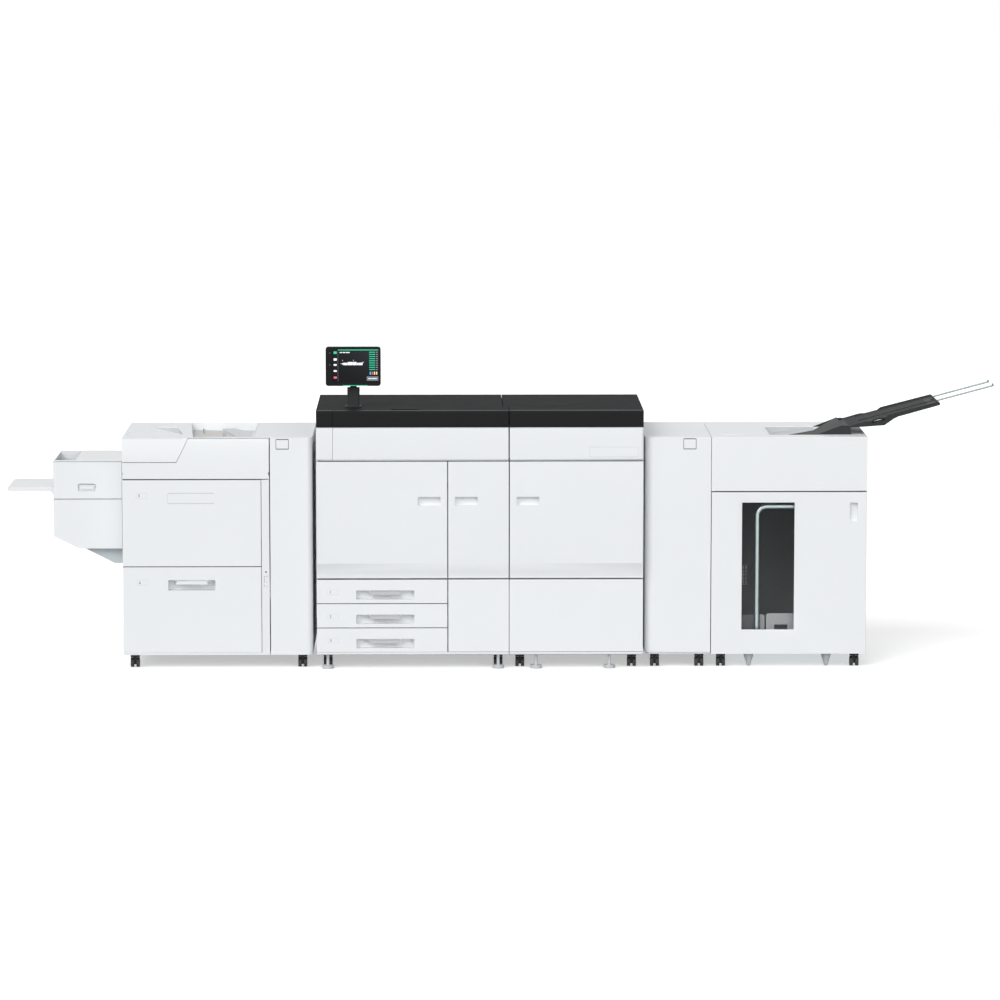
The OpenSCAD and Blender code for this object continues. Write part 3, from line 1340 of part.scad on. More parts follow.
// Paper guides that stand on lift table
table_z = cart_z1 + running;
guide_h = window_z + window_h / 9 - table_z;
module lift_table() in_shade() {
    y0 = tube_y + 2 * tube_r;
    block([cart_x0, y0, table_z], [cart_x1, cart_y1, table_z + table_t]);
    along_y(y0, y0 + skin) difference() {
        for (i = [0, 1]) rounded([window_x0 + window_w * guide_share[i][0], table_z + table_t - edge_r],
        [window_x0 + window_w * guide_share[i][1],
        table_z + guide_h - (1 - i) * frame_t],
        edge_r);
        translate([window_x0 + window_w * guide_hole_share, table_z + table_t + guide_h / 4])
        square([window_w / 4, guide_h / 3]);
        translate([window_x0, table_z + table_t - 2 * edge_r]) square([window_w + edge_r * 2, 2 * edge_r]);
    }
}

// Exit tray, drawn level and then tilted about chute's low end on stacker's top
exit_x0 = stacker_x0 + exit_in;
module tilted() translate([exit_x0, exit_y, unit_h]) rotate([0, -exit_angle, 0]) children();
// Points of a side wall, in shares of tray's length and of height; low is depth of notch
function side_share(low) = [[0.342, -0.39], [0.352, -0.435], [0.394, -0.58], [0.5, -0.555],
    [0.542, -low], [0.621, -low], [0.647, -0.51], [0.99, -0.55], [1, -0.7], [0.995, -0.85],
    [0.711, -0.885], [0.681, -0.965], [0.612, -1.29], [0.39, -0.747]];
// Depths of that notch in front and in rear wall
notch_share = [0.86, 0.66];
// Ends of walls' foot on stacker's top, in shares of tray's length
foot_share = [0.385, 0.182];
module exit_side(low) polygon(concat(
    [for (p = side_share(low)) [exit_l * p[0], exit_h * p[1]]],
    [for (p = foot_share) [exit_l * p, -exit_l * p * tan(exit_angle)]]));
// The chute's profile in same shares, and outline from above in shares of length and width
chute_share = [[-0.009, 0], [0.172, 0], [0.343, 0.79]];
chute_plan_share = [[-0.009, 0], [0.387, 0], [0.387, 1], [0.332, 1]];
module chute() intersection() {
    translate([exit_x0, 0, unit_h]) along_y(exit_y, exit_y + exit_w) polygon(concat(
        [for (i = [0 : 2]) [exit_l * chute_share[i][0], exit_h * chute_share[i][1]]],
        [for (i = [2 : -1 : 0]) [exit_l * chute_share[i][0], exit_h * chute_share[i][1] - skin]]));
    translate([exit_x0, exit_y]) upright(unit_h - 2 * skin, unit_h + exit_h)
        polygon([for (p = chute_plan_share) [exit_l * p[0], exit_w * p[1]]]);
}
// Floor, belly and dimple: heights in shares of tray's height, places in shares of length
floor_share = 0.645;
floor_from_share = 0.32;
belly_share = [0.394, 0.684];
dimple_share = [0.581, 0.89];
dimple_r = dock_w / 2;
floor_u = -exit_h * floor_share;
sleeve_r = rod_r + skin;
sleeve_l = rod_hold + rod_travel + back_gap;
rod_w = floor_u - skin;
exit_ribs_n = 8;
rib_pitch = exit_w / (exit_ribs_n + 1);
// Place of end's notch across tray, and width and length
end_notch_share = 0.468;
end_notch_w = 2 * frame_t + 2 * edge_r;
end_notch_l = dock_w / 2;
module exit_body() {
    for (i = [0, 1]) along_y(i * (exit_w - 2 * skin), i * (exit_w - 2 * skin) + 2 * skin)
        exit_side(notch_share[i]);
    intersection() {
        along_y(0, dock_w) exit_side(notch_share[0]);
        block([exit_l * belly_share[0], 0, -2 * exit_h], [exit_l * belly_share[1], dock_w,
        floor_u - skin]);
    }
    block([exit_l * floor_from_share, skin, floor_u - 2 * skin], [exit_l - skin,
        exit_w - skin, floor_u]);
    block([exit_l - 3 * skin, skin, floor_u - 3 * skin], [exit_l - skin, exit_w - skin,
        floor_u + skin]);
    for (i = [0, 1]) bar_x([exit_l - sleeve_l, rod_y + rod_pitch * i, rod_w], sleeve_l - skin, sleeve_r);
    for (i = [1 : exit_ribs_n])
        block([exit_l * chute_plan_share[1][0], rib_pitch * i, floor_u - skin],
        [exit_l - dock_w, rib_pitch * i + skin, floor_u + seam]);
}
module exit_tray() in_black() {
    chute();
    tilted() difference() {
        exit_body();
        for (i = [0, 1])
        bar_x([exit_l - sleeve_l - cut, rod_y + rod_pitch * i, rod_w], sleeve_l + 2 * cut,
        rod_r + pin_gap);
        translate([exit_l * dimple_share[0], 0, -exit_h * dimple_share[1]]) cylinder(h = exit_h,
        r = dimple_r);
        block([exit_l - end_notch_l, exit_w * end_notch_share, -exit_h],
        [exit_l + cut, exit_w * end_notch_share + end_notch_w, 0]);
    }
}
module exit_rods() in_steel() tilted() for (i = [0, 1]) {
    bar_x([exit_l - rod_hold, rod_y + rod_pitch * i, rod_w], rod_hold + rod_out, rod_r);
    translate([rod_end - rod_r, rod_y + rod_pitch * i, rod_w]) cylinder(h = 3 * rod_r, r = rod_r);
}

// Running gear
module at_casters(y) {
    for (x = caster_xs) translate([x, y, 0]) children();
}
caster_xs = [for (u = [[feeder_x0, feeder_x1], [left_x0, left_x1], [right_x0, right_x1],
        [decurler_x0, decurler_x1], [stacker_x0, stacker_x1]])
        each [u[0] + caster_in, u[1] - caster_in]];
caster_front_y = caster_front;
caster_rear_y = unit_d - caster_rear;
wheel_w = (caster_w - hood_w) / 2 - running;
module casters() in_dark() for (y = [caster_front_y, caster_rear_y]) at_casters(y) {
    difference() {
        union() {
        translate([-hood_w / 2, -wheel_r * 0.6, wheel_r * 0.6]) cube([hood_w, wheel_r * 1.2,
        skirt_z - skin - wheel_r * 0.6]);
        translate([-caster_w / 2, -wheel_r * 0.8, 2 * wheel_r + skin]) cube([caster_w,
        wheel_r * 1.6, skirt_z - 2 * skin - 2 * wheel_r]);
        translate([0, 0, skirt_z - skin]) cylinder(h = skin, r = wheel_r);
        }
        bar_x([-hood_w, 0, wheel_r], 2 * hood_w, axle_r + pin_gap);
    }
}
module wheel_pairs(y) at_casters(y) {
    bar_x([-caster_w / 2, 0, wheel_r], caster_w, axle_r);
    for (x = [-caster_w / 2, caster_w / 2 - wheel_w]) bar_x([x, 0, wheel_r], wheel_w, wheel_r);
}
module front_wheels() in_dark() wheel_pairs(caster_front_y);
module rear_wheels() in_dark() wheel_pairs(caster_rear_y);

// Levelling feet under engine, tapered ones under stacker
foot_front_y = core_y + foot_rod_r + seam;
foot_rear_y = engine_y1 - frame_t - foot_r - dock_w / 3;
foot_xs = [left_x0 + caster_in, left_x1 - caster_in, right_x0 + right_w / 5, right_x1 - right_w / 4];
module leveling_feet() in_shade() {
    for (y = [foot_front_y, foot_rear_y]) for (x = foot_xs) translate([x, y, 0]) {
        cylinder(h = foot_h, r = foot_r);
        translate([0, 0, foot_h]) cylinder(h = skirt_z - foot_h, r = foot_rod_r);
    }
    for (y = [bay_y + dock_w / 2, unit_d - dock_w / 2])
        for (x = [stacker_x0 + stacker_w / 4, stacker_x1 - stacker_w / 4])
        translate([x, y, 0]) cylinder(h = skirt_z, r1 = foot_rod_r, r2 = dock_w / 2);
}

bypass_housing();
bypass_top_cover();
bypass_door();
bypass_latch();
bypass_bracket();
bypass_tray();
bypass_roller();
feeder_frame();
feeder_top_cover();
catch_plate();
feeder_corner_cover();
feeder_front_cover();
feeder_upper_drawer();
upper_drawer_flap();
upper_lift_plate();
feeder_lower_drawer();
lower_drawer_paddle();
lower_lift_plate();
feeder_column();
engine_frame();
engine_top_left();
engine_top_right();
toner_cover();
upper_left_strip();
upper_right_cover();
left_door();
middle_door();
right_door();
door_hinges();
paper_tray_1();
paper_tray_2();
paper_tray_3();
tray_paddle_1();
tray_paddle_2();
tray_paddle_3();
lower_covers();
inner_covers();
toner_cartridges();
drum_units();
transfer_belt();
fuser_housing();
fuser_roller();
pressure_roller();
panel_mast();
panel_neck();
touch_panel();
decurler_housing();
stacker_frame();
stacker_liner();
stacker_top_cover();
stacker_door();
stacker_window();
stacker_cart();
lift_table();
exit_tray();
exit_rods();
casters();
front_wheels();
rear_wheels();
leveling_feet();
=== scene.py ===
"""Looks of a digital production printer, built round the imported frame."""

import json
import math

import bmesh
import bpy
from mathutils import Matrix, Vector


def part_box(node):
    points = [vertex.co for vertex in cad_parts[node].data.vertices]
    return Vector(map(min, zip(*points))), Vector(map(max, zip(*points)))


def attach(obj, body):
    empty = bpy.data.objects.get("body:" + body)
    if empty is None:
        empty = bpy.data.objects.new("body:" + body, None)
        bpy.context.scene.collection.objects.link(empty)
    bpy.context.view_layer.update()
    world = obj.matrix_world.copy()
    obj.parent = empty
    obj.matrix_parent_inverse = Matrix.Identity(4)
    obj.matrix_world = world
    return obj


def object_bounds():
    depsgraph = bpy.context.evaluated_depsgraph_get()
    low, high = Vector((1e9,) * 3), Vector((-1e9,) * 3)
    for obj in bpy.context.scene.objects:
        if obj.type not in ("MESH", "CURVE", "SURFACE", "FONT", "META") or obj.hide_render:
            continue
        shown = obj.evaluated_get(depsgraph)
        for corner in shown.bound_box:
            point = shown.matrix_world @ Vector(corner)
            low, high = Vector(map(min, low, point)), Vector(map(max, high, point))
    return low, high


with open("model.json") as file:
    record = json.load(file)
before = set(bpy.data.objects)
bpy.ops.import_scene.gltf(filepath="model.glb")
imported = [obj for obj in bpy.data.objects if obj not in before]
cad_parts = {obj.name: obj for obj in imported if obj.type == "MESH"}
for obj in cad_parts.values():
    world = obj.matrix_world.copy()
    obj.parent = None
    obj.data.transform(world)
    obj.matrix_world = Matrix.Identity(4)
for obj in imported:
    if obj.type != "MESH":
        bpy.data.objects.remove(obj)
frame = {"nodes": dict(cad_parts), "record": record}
cad_box = [list(corner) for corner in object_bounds()]
nodes = frame["nodes"]
MM = 0.001

# Two planes that most fronts lie in, and the engine's left side
UNIT_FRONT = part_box("feeder_column")[0].y
ENGINE_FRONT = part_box("left_door")[0].y
ENGINE_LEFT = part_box("engine_frame")[0].x

# Colours, as linear values
WHITE = (0.81, 0.83, 0.842)
UPPER_WHITE = (0.84, 0.86, 0.872)
METAL_WHITE = (0.79, 0.81, 0.822)
PALE_EDGE = (0.72, 0.75, 0.76)
SHADE = (0.54, 0.59, 0.61)
CHARCOAL = (0.012, 0.0125, 0.013)
TOP_BLACK = (0.015, 0.016, 0.017)
TRAY_DARK = (0.036, 0.038, 0.039)
BEZEL_BLACK = (0.008, 0.008, 0.009)
# Painted shadow: the grey line under the upper covers' fascia
SHADOW_LINE_GREY = (0.62, 0.65, 0.66)
# Painted shade for the seams between panels, inside the frames and in the gap between the blocks
SEAM_SHADE = (0.010, 0.011, 0.012)
DASH_GREY = (0.045, 0.050, 0.052)
# Painted shade in the seam round the upper drawer's flap
FLAP_SEAM_SHADE = (0.10, 0.105, 0.108)
STEEL = (0.62, 0.67, 0.68)
CATCH_STEEL = (0.50, 0.49, 0.47)
DULL_STEEL = (0.40, 0.47, 0.47)
# Painted highlight and painted shade of the round rods
ROD_LIT = (0.36, 0.44, 0.44)
ROD_SHADE = (0.10, 0.14, 0.145)
FOOT_GREY = (0.58, 0.60, 0.61)
PADDLE_GREY = (0.52, 0.53, 0.54)
# Painted shade down in the recesses of the tops
FEEDER_RECESS_SHADE = (0.60, 0.62, 0.63)
STACKER_RECESS_SHADE = (0.52, 0.54, 0.55)
GUIDE_PALE = (0.36, 0.37, 0.375)
GUIDE_DARK = (0.085, 0.09, 0.092)
RUBBER = (0.022, 0.022, 0.024)
# Painted shade of the stacker's bay, darker at the top than at the foot
BAY_TOP_SHADE = (0.022, 0.025, 0.026)
BAY_FOOT_SHADE = (0.25, 0.26, 0.26)
WINDOW_TINT = (0.30, 0.34, 0.34)
GROUND_BASE = (0.004, 0.004, 0.005)
GROUND_DARK = (0.002, 0.0025, 0.003)
GROUND_LIT = (0.030, 0.033, 0.036)

# Skins and coats: middle roughness, noise scale of the grain, its bump height in metres
SKIN_ROUGH, SKIN_GRAIN, SKIN_BUMP = 0.42, 1400, 0.00008
COAT_ROUGH, COAT_GRAIN, COAT_BUMP = 0.38, 900, 0.00006
METAL_BUMP, METAL_BUMP_STRENGTH = 0.00003, 0.15
# Uneven tone and gloss: noise scales, and how far each goes to either side
TONE_SCALE, TONE_SPREAD = 3.0, 0.012
GLOSS_SCALE, GLOSSIER, DULLER = 9.0, 0.05, 0.06
STREAK_SCALE = 160.0
WINDOW_ALPHA = 0.035
EMISSION_BASE_SHARE = 0.4

# Seams: half width of the rim painted with seam shade, and how far back from the front it reaches
SEAM_HALF_W, SEAM_DEPTH = 1.5 * MM, 6 * MM
FLAP_HALF_W, FLAP_DEPTH = 0.9 * MM, 8 * MM
BYPASS_SEAM_HALF_W = 2.2 * MM
DOOR_SEAM_DEPTH, COVER_SEAM_DEPTH = 30 * MM, 35 * MM
INSIDE_MARGIN = 3 * MM

# Upper covers: heights of their bands, the painted seam shade between the blocks and its dashes
# under them
FASCIA_Z, LINE_H, PALE_EDGE_H = 1.257, 5 * MM, 10 * MM
BLOCK_SEAM_W, DASH_H = 6.4 * MM, 1.4 * MM
DASH_PITCH, DASH_SHARE = 0.151, 0.62
# Tops: where the painted shade of a recess begins below the top, and the white rim round it
RECESS_START, RECESS_SIDE, RECESS_FRONT, RECESS_REAR = 3 * MM, 20 * MM, 45 * MM, 12 * MM
# Rods: dark tips, the slope of the painted highlight, and how far off it the painted shade darkens
# them
ROD_TIP, ROD_LIT_SLOPE = 7 * MM, 0.22
ROD_DARKEN_FROM, ROD_DARKEN_TO = 0.30, 0.62
# Where the lift table's dark guide ends, and how far up the painted shade of the bay's coat
# darkens
GUIDE_SPLIT_SHARE, BAY_SHADE_SHARE = 0.293, 0.8


# Shader building blocks
def link(tree, a, b):
    tree.links.new(a, b)


def new_material(name):
    mat = bpy.data.materials.new(name)
    mat.use_nodes = True
    tree = mat.node_tree
    return mat, tree, tree.nodes["Principled BSDF"]


def coordinates(tree):
    return tree.nodes.new("ShaderNodeTexCoord").outputs["Object"]


def along(tree):
    """The place on the piece, as separate X, Y and Z."""
    split = tree.nodes.new("ShaderNodeSeparateXYZ")
    link(tree, coordinates(tree), split.inputs[0])
    return split.outputs


def maths(tree, operation, *values):
    node = tree.nodes.new("ShaderNodeMath")
    node.operation = operation
    for socket, value in zip(node.inputs, values):
        if isinstance(value, (int, float)):
            socket.default_value = value
        else:
            link(tree, value, socket)
    return node.outputs[0]


def between(tree, value, low, high):
    """1 where the value lies between low and high."""
    return maths(tree, "COMPARE", value, (low + high) / 2, (high - low) / 2)


def share_of(tree, value, low, high):
    """Where the value stands from low, as 0, to high, as 1."""
    return maths(tree, "DIVIDE", maths(tree, "SUBTRACT", value, low), high - low)


def mixed(tree, share, a, b):
    """Colour a where share is 0 and b where it is 1. Each is a colour or a socket."""
    mix = tree.nodes.new("ShaderNodeMix")
    mix.data_type = "RGBA"
    link(tree, share, mix.inputs[0])
    for socket, value in ((mix.inputs[6], a), (mix.inputs[7], b)):
        if isinstance(value, tuple):
            socket.default_value = (*value, 1)
        else:
            link(tree, value, socket)
    return mix.outputs[2]


def noise(tree, scale, detail=2.0, rough=0.5):
    tex = tree.nodes.new("ShaderNodeTexNoise")
    tex.inputs["Scale"].default_value = scale
    tex.inputs["Detail"].default_value = detail
    tex.inputs["Roughness"].default_value = rough
    link(tree, coordinates(tree), tex.inputs["Vector"])
    return tex.outputs["Fac"]


def ramp(tree, value, low, high):
    """Maps a 0 to 1 value to low to high."""
    node = tree.nodes.new("ShaderNodeMapRange")
    node.inputs["To Min"].default_value = low
    node.inputs["To Max"].default_value = high
    link(tree, value, node.inputs["Value"])
    return node.outputs["Result"]


def tint(tree, colour, spread=TONE_SPREAD, scale=TONE_SCALE):
    """The colour with faint, large patches a little lighter and darker."""
    darker = tuple(c * (1 - spread) for c in colour)
    lighter = tuple(min(1, c * (1 + spread)) for c in colour)
    return mixed(tree, noise(tree, scale, 3), darker, lighter)


def set_gloss(tree, shader, low, high, scale=GLOSS_SCALE, detail=4):
    """Roughness that wanders from low to high over the piece."""
    link(tree, ramp(tree, noise(tree, scale, detail), low, high), shader.inputs["Roughness"])


def fine_bump(tree, shader, scale, height, strength=0.25):
    bump = tree.nodes.new("ShaderNodeBump")
    bump.inputs["Strength"].default_value = strength
    bump.inputs["Distance"].default_value = height
    link(tree, noise(tree, scale, 3, 0.6), bump.inputs["Height"])
    link(tree, bump.outputs["Normal"], shader.inputs["Normal"])


def set_skin(tree, shader, colour, rough=SKIN_ROUGH, grain=SKIN_GRAIN, height=SKIN_BUMP):
    """A skin in the colour of a socket, with slightly uneven gloss and a fine grain."""
    link(tree, colour, shader.inputs["Base Color"])
    set_gloss(tree, shader, rough - GLOSSIER, rough + DULLER)
    fine_bump(tree, shader, grain, height)


def edge_lines(tree, place, box, sides, half_w, depth):
    """1 on the rim of a front along the named sides, where the shadow of its seam lies."""
    lo, hi = box
    rims = {"left": ("X", lo.x), "right": ("X", hi.x), "bottom": ("Z", lo.z), "top": ("Z", hi.z)}
    mask = None
    for side in sides:
        axis, at = rims[side]
        rim = maths(tree, "COMPARE", place[axis], at, half_w)
        mask = rim if mask is None else maths(tree, "MAXIMUM", mask, rim)
    return maths(tree, "MULTIPLY", mask, maths(tree, "COMPARE", place["Y"], lo.y, depth))


# Finishes
def moulded(name, colour, rough=SKIN_ROUGH, grain=SKIN_GRAIN, height=SKIN_BUMP,
            spread=TONE_SPREAD, gloss=0.5):
    """A moulded or coated skin: fine grain, faint uneven tone, slightly uneven gloss."""
    mat, tree, shader = new_material(name)
    set_skin(tree, shader, tint(tree, colour, spread), rough, grain, height)
    shader.inputs["Specular IOR Level"].default_value = gloss
    return mat


def edged(node, sides, half_w=SEAM_HALF_W, depth=SEAM_DEPTH, line=SEAM_SHADE):
    """The white skin of a front, with painted seam shade on its rim along its seams."""
    mat, tree, shader = new_material(f"{node}_skin")
    rim = edge_lines(tree, along(tree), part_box(node), sides, half_w, depth)
    set_skin(tree, shader, mixed(tree, rim, tint(tree, WHITE), line))
    return mat


def shadowed(node, behind, reach):
    """A white coat with painted shade inside, for the frame that shows through the seams before
    it.
    """
    mat, tree, shader = new_material(f"{node}_coat")
    lo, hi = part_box(node)
    place = along(tree)
    inner = between(tree, place["X"], lo.x + INSIDE_MARGIN, hi.x - INSIDE_MARGIN)
    near = between(tree, place["Y"], behind, behind + reach)
    dark = maths(tree, "MULTIPLY", inner, near)
    colour = mixed(tree, dark, tint(tree, METAL_WHITE), SEAM_SHADE)
    set_skin(tree, shader, colour, COAT_ROUGH, COAT_GRAIN, COAT_BUMP)
    return mat


def recessed(node, recess_shade):
    """White skin with painted shade, greyer down in the recesses of a top."""
    mat, tree, shader = new_material(f"{node}_skin")
    lo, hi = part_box(node)
    place = along(tree)
    inner = maths(tree, "MULTIPLY",
                  between(tree, place["X"], lo.x + RECESS_SIDE, hi.x - RECESS_SIDE),
                  between(tree, place["Y"], lo.y + RECESS_FRONT, hi.y - RECESS_REAR))
    below = maths(tree, "LESS_THAN", place["Z"], hi.z - RECESS_START)
    down = maths(tree, "MULTIPLY", inner, below)
    set_skin(tree, shader, mixed(tree, down, tint(tree, WHITE), recess_shade))
    return mat


def drawn_metal(name, colour, rough=0.24):
    """Bright drawn steel with fine streaks."""
    mat, tree, shader = new_material(name)
    shader.inputs["Metallic"].default_value = 1.0
    link(tree, tint(tree, colour, spread=0.05, scale=12.0), shader.inputs["Base Color"])
    set_gloss(tree, shader, low=rough - 0.06, high=rough + 0.10, scale=STREAK_SCALE)
    fine_bump(tree, shader, COAT_GRAIN, METAL_BUMP, METAL_BUMP_STRENGTH)
    return mat


def upper_skin():
    """The upper covers: pale lower edge, white, a grey line of painted shadow, the charcoal
    fascia, painted seam shade.
    """
    mat, tree, shader = new_material("upper_cover_skin")
    place = along(tree)
    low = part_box("toner_cover")[0].z
    out = tint(tree, PALE_EDGE)
    for z, colour in ((low + PALE_EDGE_H, UPPER_WHITE), (FASCIA_Z - LINE_H, SHADOW_LINE_GREY),
                      (FASCIA_Z, CHARCOAL)):
        above = maths(tree, "GREATER_THAN", place["Z"], z)
        out = mixed(tree, above, out, tint(tree, colour))
    block_seam = (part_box("toner_cover")[1].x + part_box("right_door")[0].x) / 2
    upright = maths(tree, "COMPARE", place["X"], block_seam, BLOCK_SEAM_W / 2)
    out = mixed(tree, upright, out, SEAM_SHADE)
    turns = maths(tree, "FRACT", maths(tree, "DIVIDE", place["X"], DASH_PITCH))
    dash = mixed(tree, maths(tree, "GREATER_THAN", turns, DASH_SHARE), SEAM_SHADE, DASH_GREY)
    level_line = maths(tree, "COMPARE", place["Z"], low, DASH_H)
    out = mixed(tree, level_line, out, dash)
    link(tree, out, shader.inputs["Base Color"])
    set_gloss(tree, shader, low=0.40, high=0.50)
    shader.inputs["Specular IOR Level"].default_value = 0.08
    fine_bump(tree, shader, SKIN_GRAIN, SKIN_BUMP)
    return mat


def bay_coat():
    """The dark coat behind the stacker's window, with painted shade that darkens it towards the
    top.
    """
    mat, tree, shader = new_material("bay_coat")
    lo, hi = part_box("stacker_liner")
    up = share_of(tree, along(tree)["Z"], lo.z, lo.z + (hi.z - lo.z) * BAY_SHADE_SHARE)
    share = maths(tree, "MINIMUM", maths(tree, "MAXIMUM", up, 0.0), 1.0)
    link(tree, mixed(tree, share, BAY_FOOT_SHADE, BAY_TOP_SHADE), shader.inputs["Base Color"])
    set_gloss(tree, shader, low=0.58, high=0.68, scale=30.0, detail=3)
    shader.inputs["Specular IOR Level"].default_value = 0.2
    fine_bump(tree, shader, scale=700, height=0.0001)
    return mat


def rod_steel():
    """Round rods with a painted highlight along one line and painted shade above and below it,
    with dark tips.
    """
    mat, tree, shader = new_material("rod_steel")
    shader.inputs["Metallic"].default_value = 0.25
    facing = tree.nodes.new("ShaderNodeSeparateXYZ")
    link(tree, tree.nodes.new("ShaderNodeTexCoord").outputs["Normal"], facing.inputs[0])
    off_middle = tree.nodes.new("ShaderNodeMapRange")
    off_middle.inputs["From Min"].default_value = ROD_DARKEN_FROM
    off_middle.inputs["From Max"].default_value = ROD_DARKEN_TO
    from_lit = maths(tree, "ABSOLUTE", maths(tree, "SUBTRACT", facing.outputs["Z"], ROD_LIT_SLOPE))
    link(tree, from_lit, off_middle.inputs["Value"])
    round_tone = mixed(tree, off_middle.outputs["Result"], ROD_LIT, ROD_SHADE)
    tip = maths(tree, "GREATER_THAN", along(tree)["X"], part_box("exit_rods")[1].x - ROD_TIP)
    link(tree, mixed(tree, tip, round_tone, TOP_BLACK), shader.inputs["Base Color"])
    set_gloss(tree, shader, low=0.30, high=0.40, scale=STREAK_SCALE)
    return mat


def guide_skin():
    """The lift table's guides: the left one is darker than the right one."""
    mat, tree, shader = new_material("guide_skin")
    lo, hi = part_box("lift_table")
    split = lo.x + (hi.x - lo.x) * GUIDE_SPLIT_SHARE
    right = maths(tree, "GREATER_THAN", along(tree)["X"], split)
    link(tree, mixed(tree, right, GUIDE_DARK, GUIDE_PALE), shader.inputs["Base Color"])
    set_gloss(tree, shader, low=0.45, high=0.55, scale=20.0, detail=3)
    fine_bump(tree, shader, SKIN_GRAIN, SKIN_BUMP)
    return mat


def glowing(name, colour):
    """A lit patch of the screen."""
    mat, tree, shader = new_material(name)
    base = [c * EMISSION_BASE_SHARE for c in colour]
    shader.inputs["Base Color"].default_value = (*base, 1)
    shader.inputs["Emission Color"].default_value = (*colour, 1)
    shader.inputs["Emission Strength"].default_value = 1.0
    set_gloss(tree, shader, low=0.20, high=0.26, scale=60.0, detail=2)
    return mat


def screen_ground():
    """The screen's dark ground, a little lighter towards its upper right corner."""
    mat, tree, shader = new_material("ui_ground")
    place = along(tree)
    lo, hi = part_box("touch_panel")
    share = maths(tree, "MULTIPLY", share_of(tree, place["X"], lo.x, hi.x),
                  share_of(tree, place["Z"], lo.z, hi.z))
    link(tree, mixed(tree, share, GROUND_DARK, GROUND_LIT), shader.inputs["Emission Color"])
    shader.inputs["Emission Strength"].default_value = 1.0
    shader.inputs["Base Color"].default_value = (*GROUND_BASE, 1)
    shader.inputs["Specular IOR Level"].default_value = 0.1
    set_gloss(tree, shader, low=0.10, high=0.14, scale=60.0, detail=2)
    return mat


def clear(name, colour):
    """The window's clear sheet, with a faint tone."""
    mat, tree, shader = new_material(name)
    shader.inputs["Base Color"].default_value = (*colour, 1)
    shader.inputs["Alpha"].default_value = WINDOW_ALPHA
    set_gloss(tree, shader, low=0.03, high=0.07, scale=20.0, detail=2)
    mat.surface_render_method = "BLENDED"
    return mat


MATERIALS = {
    "white_panel": moulded("white_skin", WHITE),
    "white_metal": moulded("white_coat", METAL_WHITE, COAT_ROUGH, COAT_GRAIN, COAT_BUMP),
    "grey_plastic": moulded("grey_skin", SHADE, rough=0.46),
    "black_panel": moulded("charcoal_top", TOP_BLACK, rough=0.62, grain=1100, height=0.0001,
                           gloss=0.02),
    "dark_plastic": moulded("dark_skin", TRAY_DARK, rough=0.50, grain=1000, height=0.0001,
                            gloss=0.08),
    # The dark coat carries the painted shade of the stacker's bay
    "dark_metal": bay_coat(),
    "steel": drawn_metal("bright_steel", STEEL),
    "rubber": moulded("black_rubber", RUBBER, rough=0.62, grain=500, height=0.0002, spread=0.05),
    "screen": moulded("bezel_gloss", BEZEL_BLACK, rough=0.14, grain=300, height=0.00001,
                      gloss=0.12),
    "window": clear("window_sheet", WINDOW_TINT),
}
SLOT_OF = {s["node"]: s["material_slot"] for s in frame["record"]["subparts"]}

# Fronts with painted seam shade: the sides that meet a neighbour, and sizes that differ from the
# usual
SEAMS = {
    "feeder_front_cover": (("bottom",), {"depth": COVER_SEAM_DEPTH}),
    "feeder_corner_cover": (("bottom",), {"depth": COVER_SEAM_DEPTH}),
    "feeder_upper_drawer": (("right", "top", "bottom"), {}),
    "feeder_lower_drawer": (("right", "top"), {}),
    "feeder_column": (("left",), {}),
    "left_door": (("right", "bottom"), {"depth": DOOR_SEAM_DEPTH}),
    "middle_door": (("left", "right", "bottom"), {"depth": DOOR_SEAM_DEPTH}),
    "right_door": (("left", "bottom"), {"depth": DOOR_SEAM_DEPTH}),
    "paper_tray_1": (("right", "top", "bottom"), {}),
    "paper_tray_2": (("right", "top", "bottom"), {}),
    "paper_tray_3": (("right", "top"), {}),
    "lower_covers": (("left", "top"), {}),
    "stacker_door": (("top", "left"), {}),
    "decurler_housing": (("right",), {}),
    "bypass_door": (("bottom",), {"half_w": BYPASS_SEAM_HALF_W}),
    "upper_drawer_flap": (("left", "right", "top", "bottom"),
                          {"half_w": FLAP_HALF_W, "depth": FLAP_DEPTH, "line": FLAP_SEAM_SHADE}),
}
# How deep the painted shade inside each frame reaches behind the fronts, from where
INSIDES = {
    "engine_frame": (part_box("engine_frame")[0].y, 12 * MM),
    "feeder_frame": (UNIT_FRONT + 20.5 * MM, 9 * MM),
    "stacker_frame": (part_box("stacker_frame")[0].y, 8 * MM),
}
# The upper covers carry a painted shadow line and painted seam shade
UPPER = upper_skin()
PADDLE = moulded("paddle_skin", PADDLE_GREY, rough=0.46)
# Other pieces whose finish differs from their slot's
FINISH = {
    "catch_plate": drawn_metal("catch_steel", CATCH_STEEL, rough=0.42),
    "stacker_cart": drawn_metal("dull_steel", DULL_STEEL, rough=0.30),
    # Painted highlight and shade on the rods
    "exit_rods": rod_steel(),
    "lift_table": guide_skin(),
    "leveling_feet": moulded("foot_zinc", FOOT_GREY, rough=0.45),
    "bypass_latch": MATERIALS["white_panel"],
    # Painted shade down in the recesses of the tops
    "feeder_top_cover": recessed("feeder_top_cover", FEEDER_RECESS_SHADE),
    "stacker_top_cover": recessed("stacker_top_cover", STACKER_RECESS_SHADE),
    "toner_cover": UPPER,
    "upper_left_strip": UPPER,
    "upper_right_cover": UPPER,
    "tray_paddle_1": PADDLE,
    "tray_paddle_2": PADDLE,
    "tray_paddle_3": PADDLE,
}
# Painted seam shade on the rims of the fronts
FINISH.update({name: edged(name, sides, **sizes) for name, (sides, sizes) in SEAMS.items()})
# Painted shade inside the frames, where the seams show them
FINISH.update({name: shadowed(name, *inside) for name, inside in INSIDES.items()})


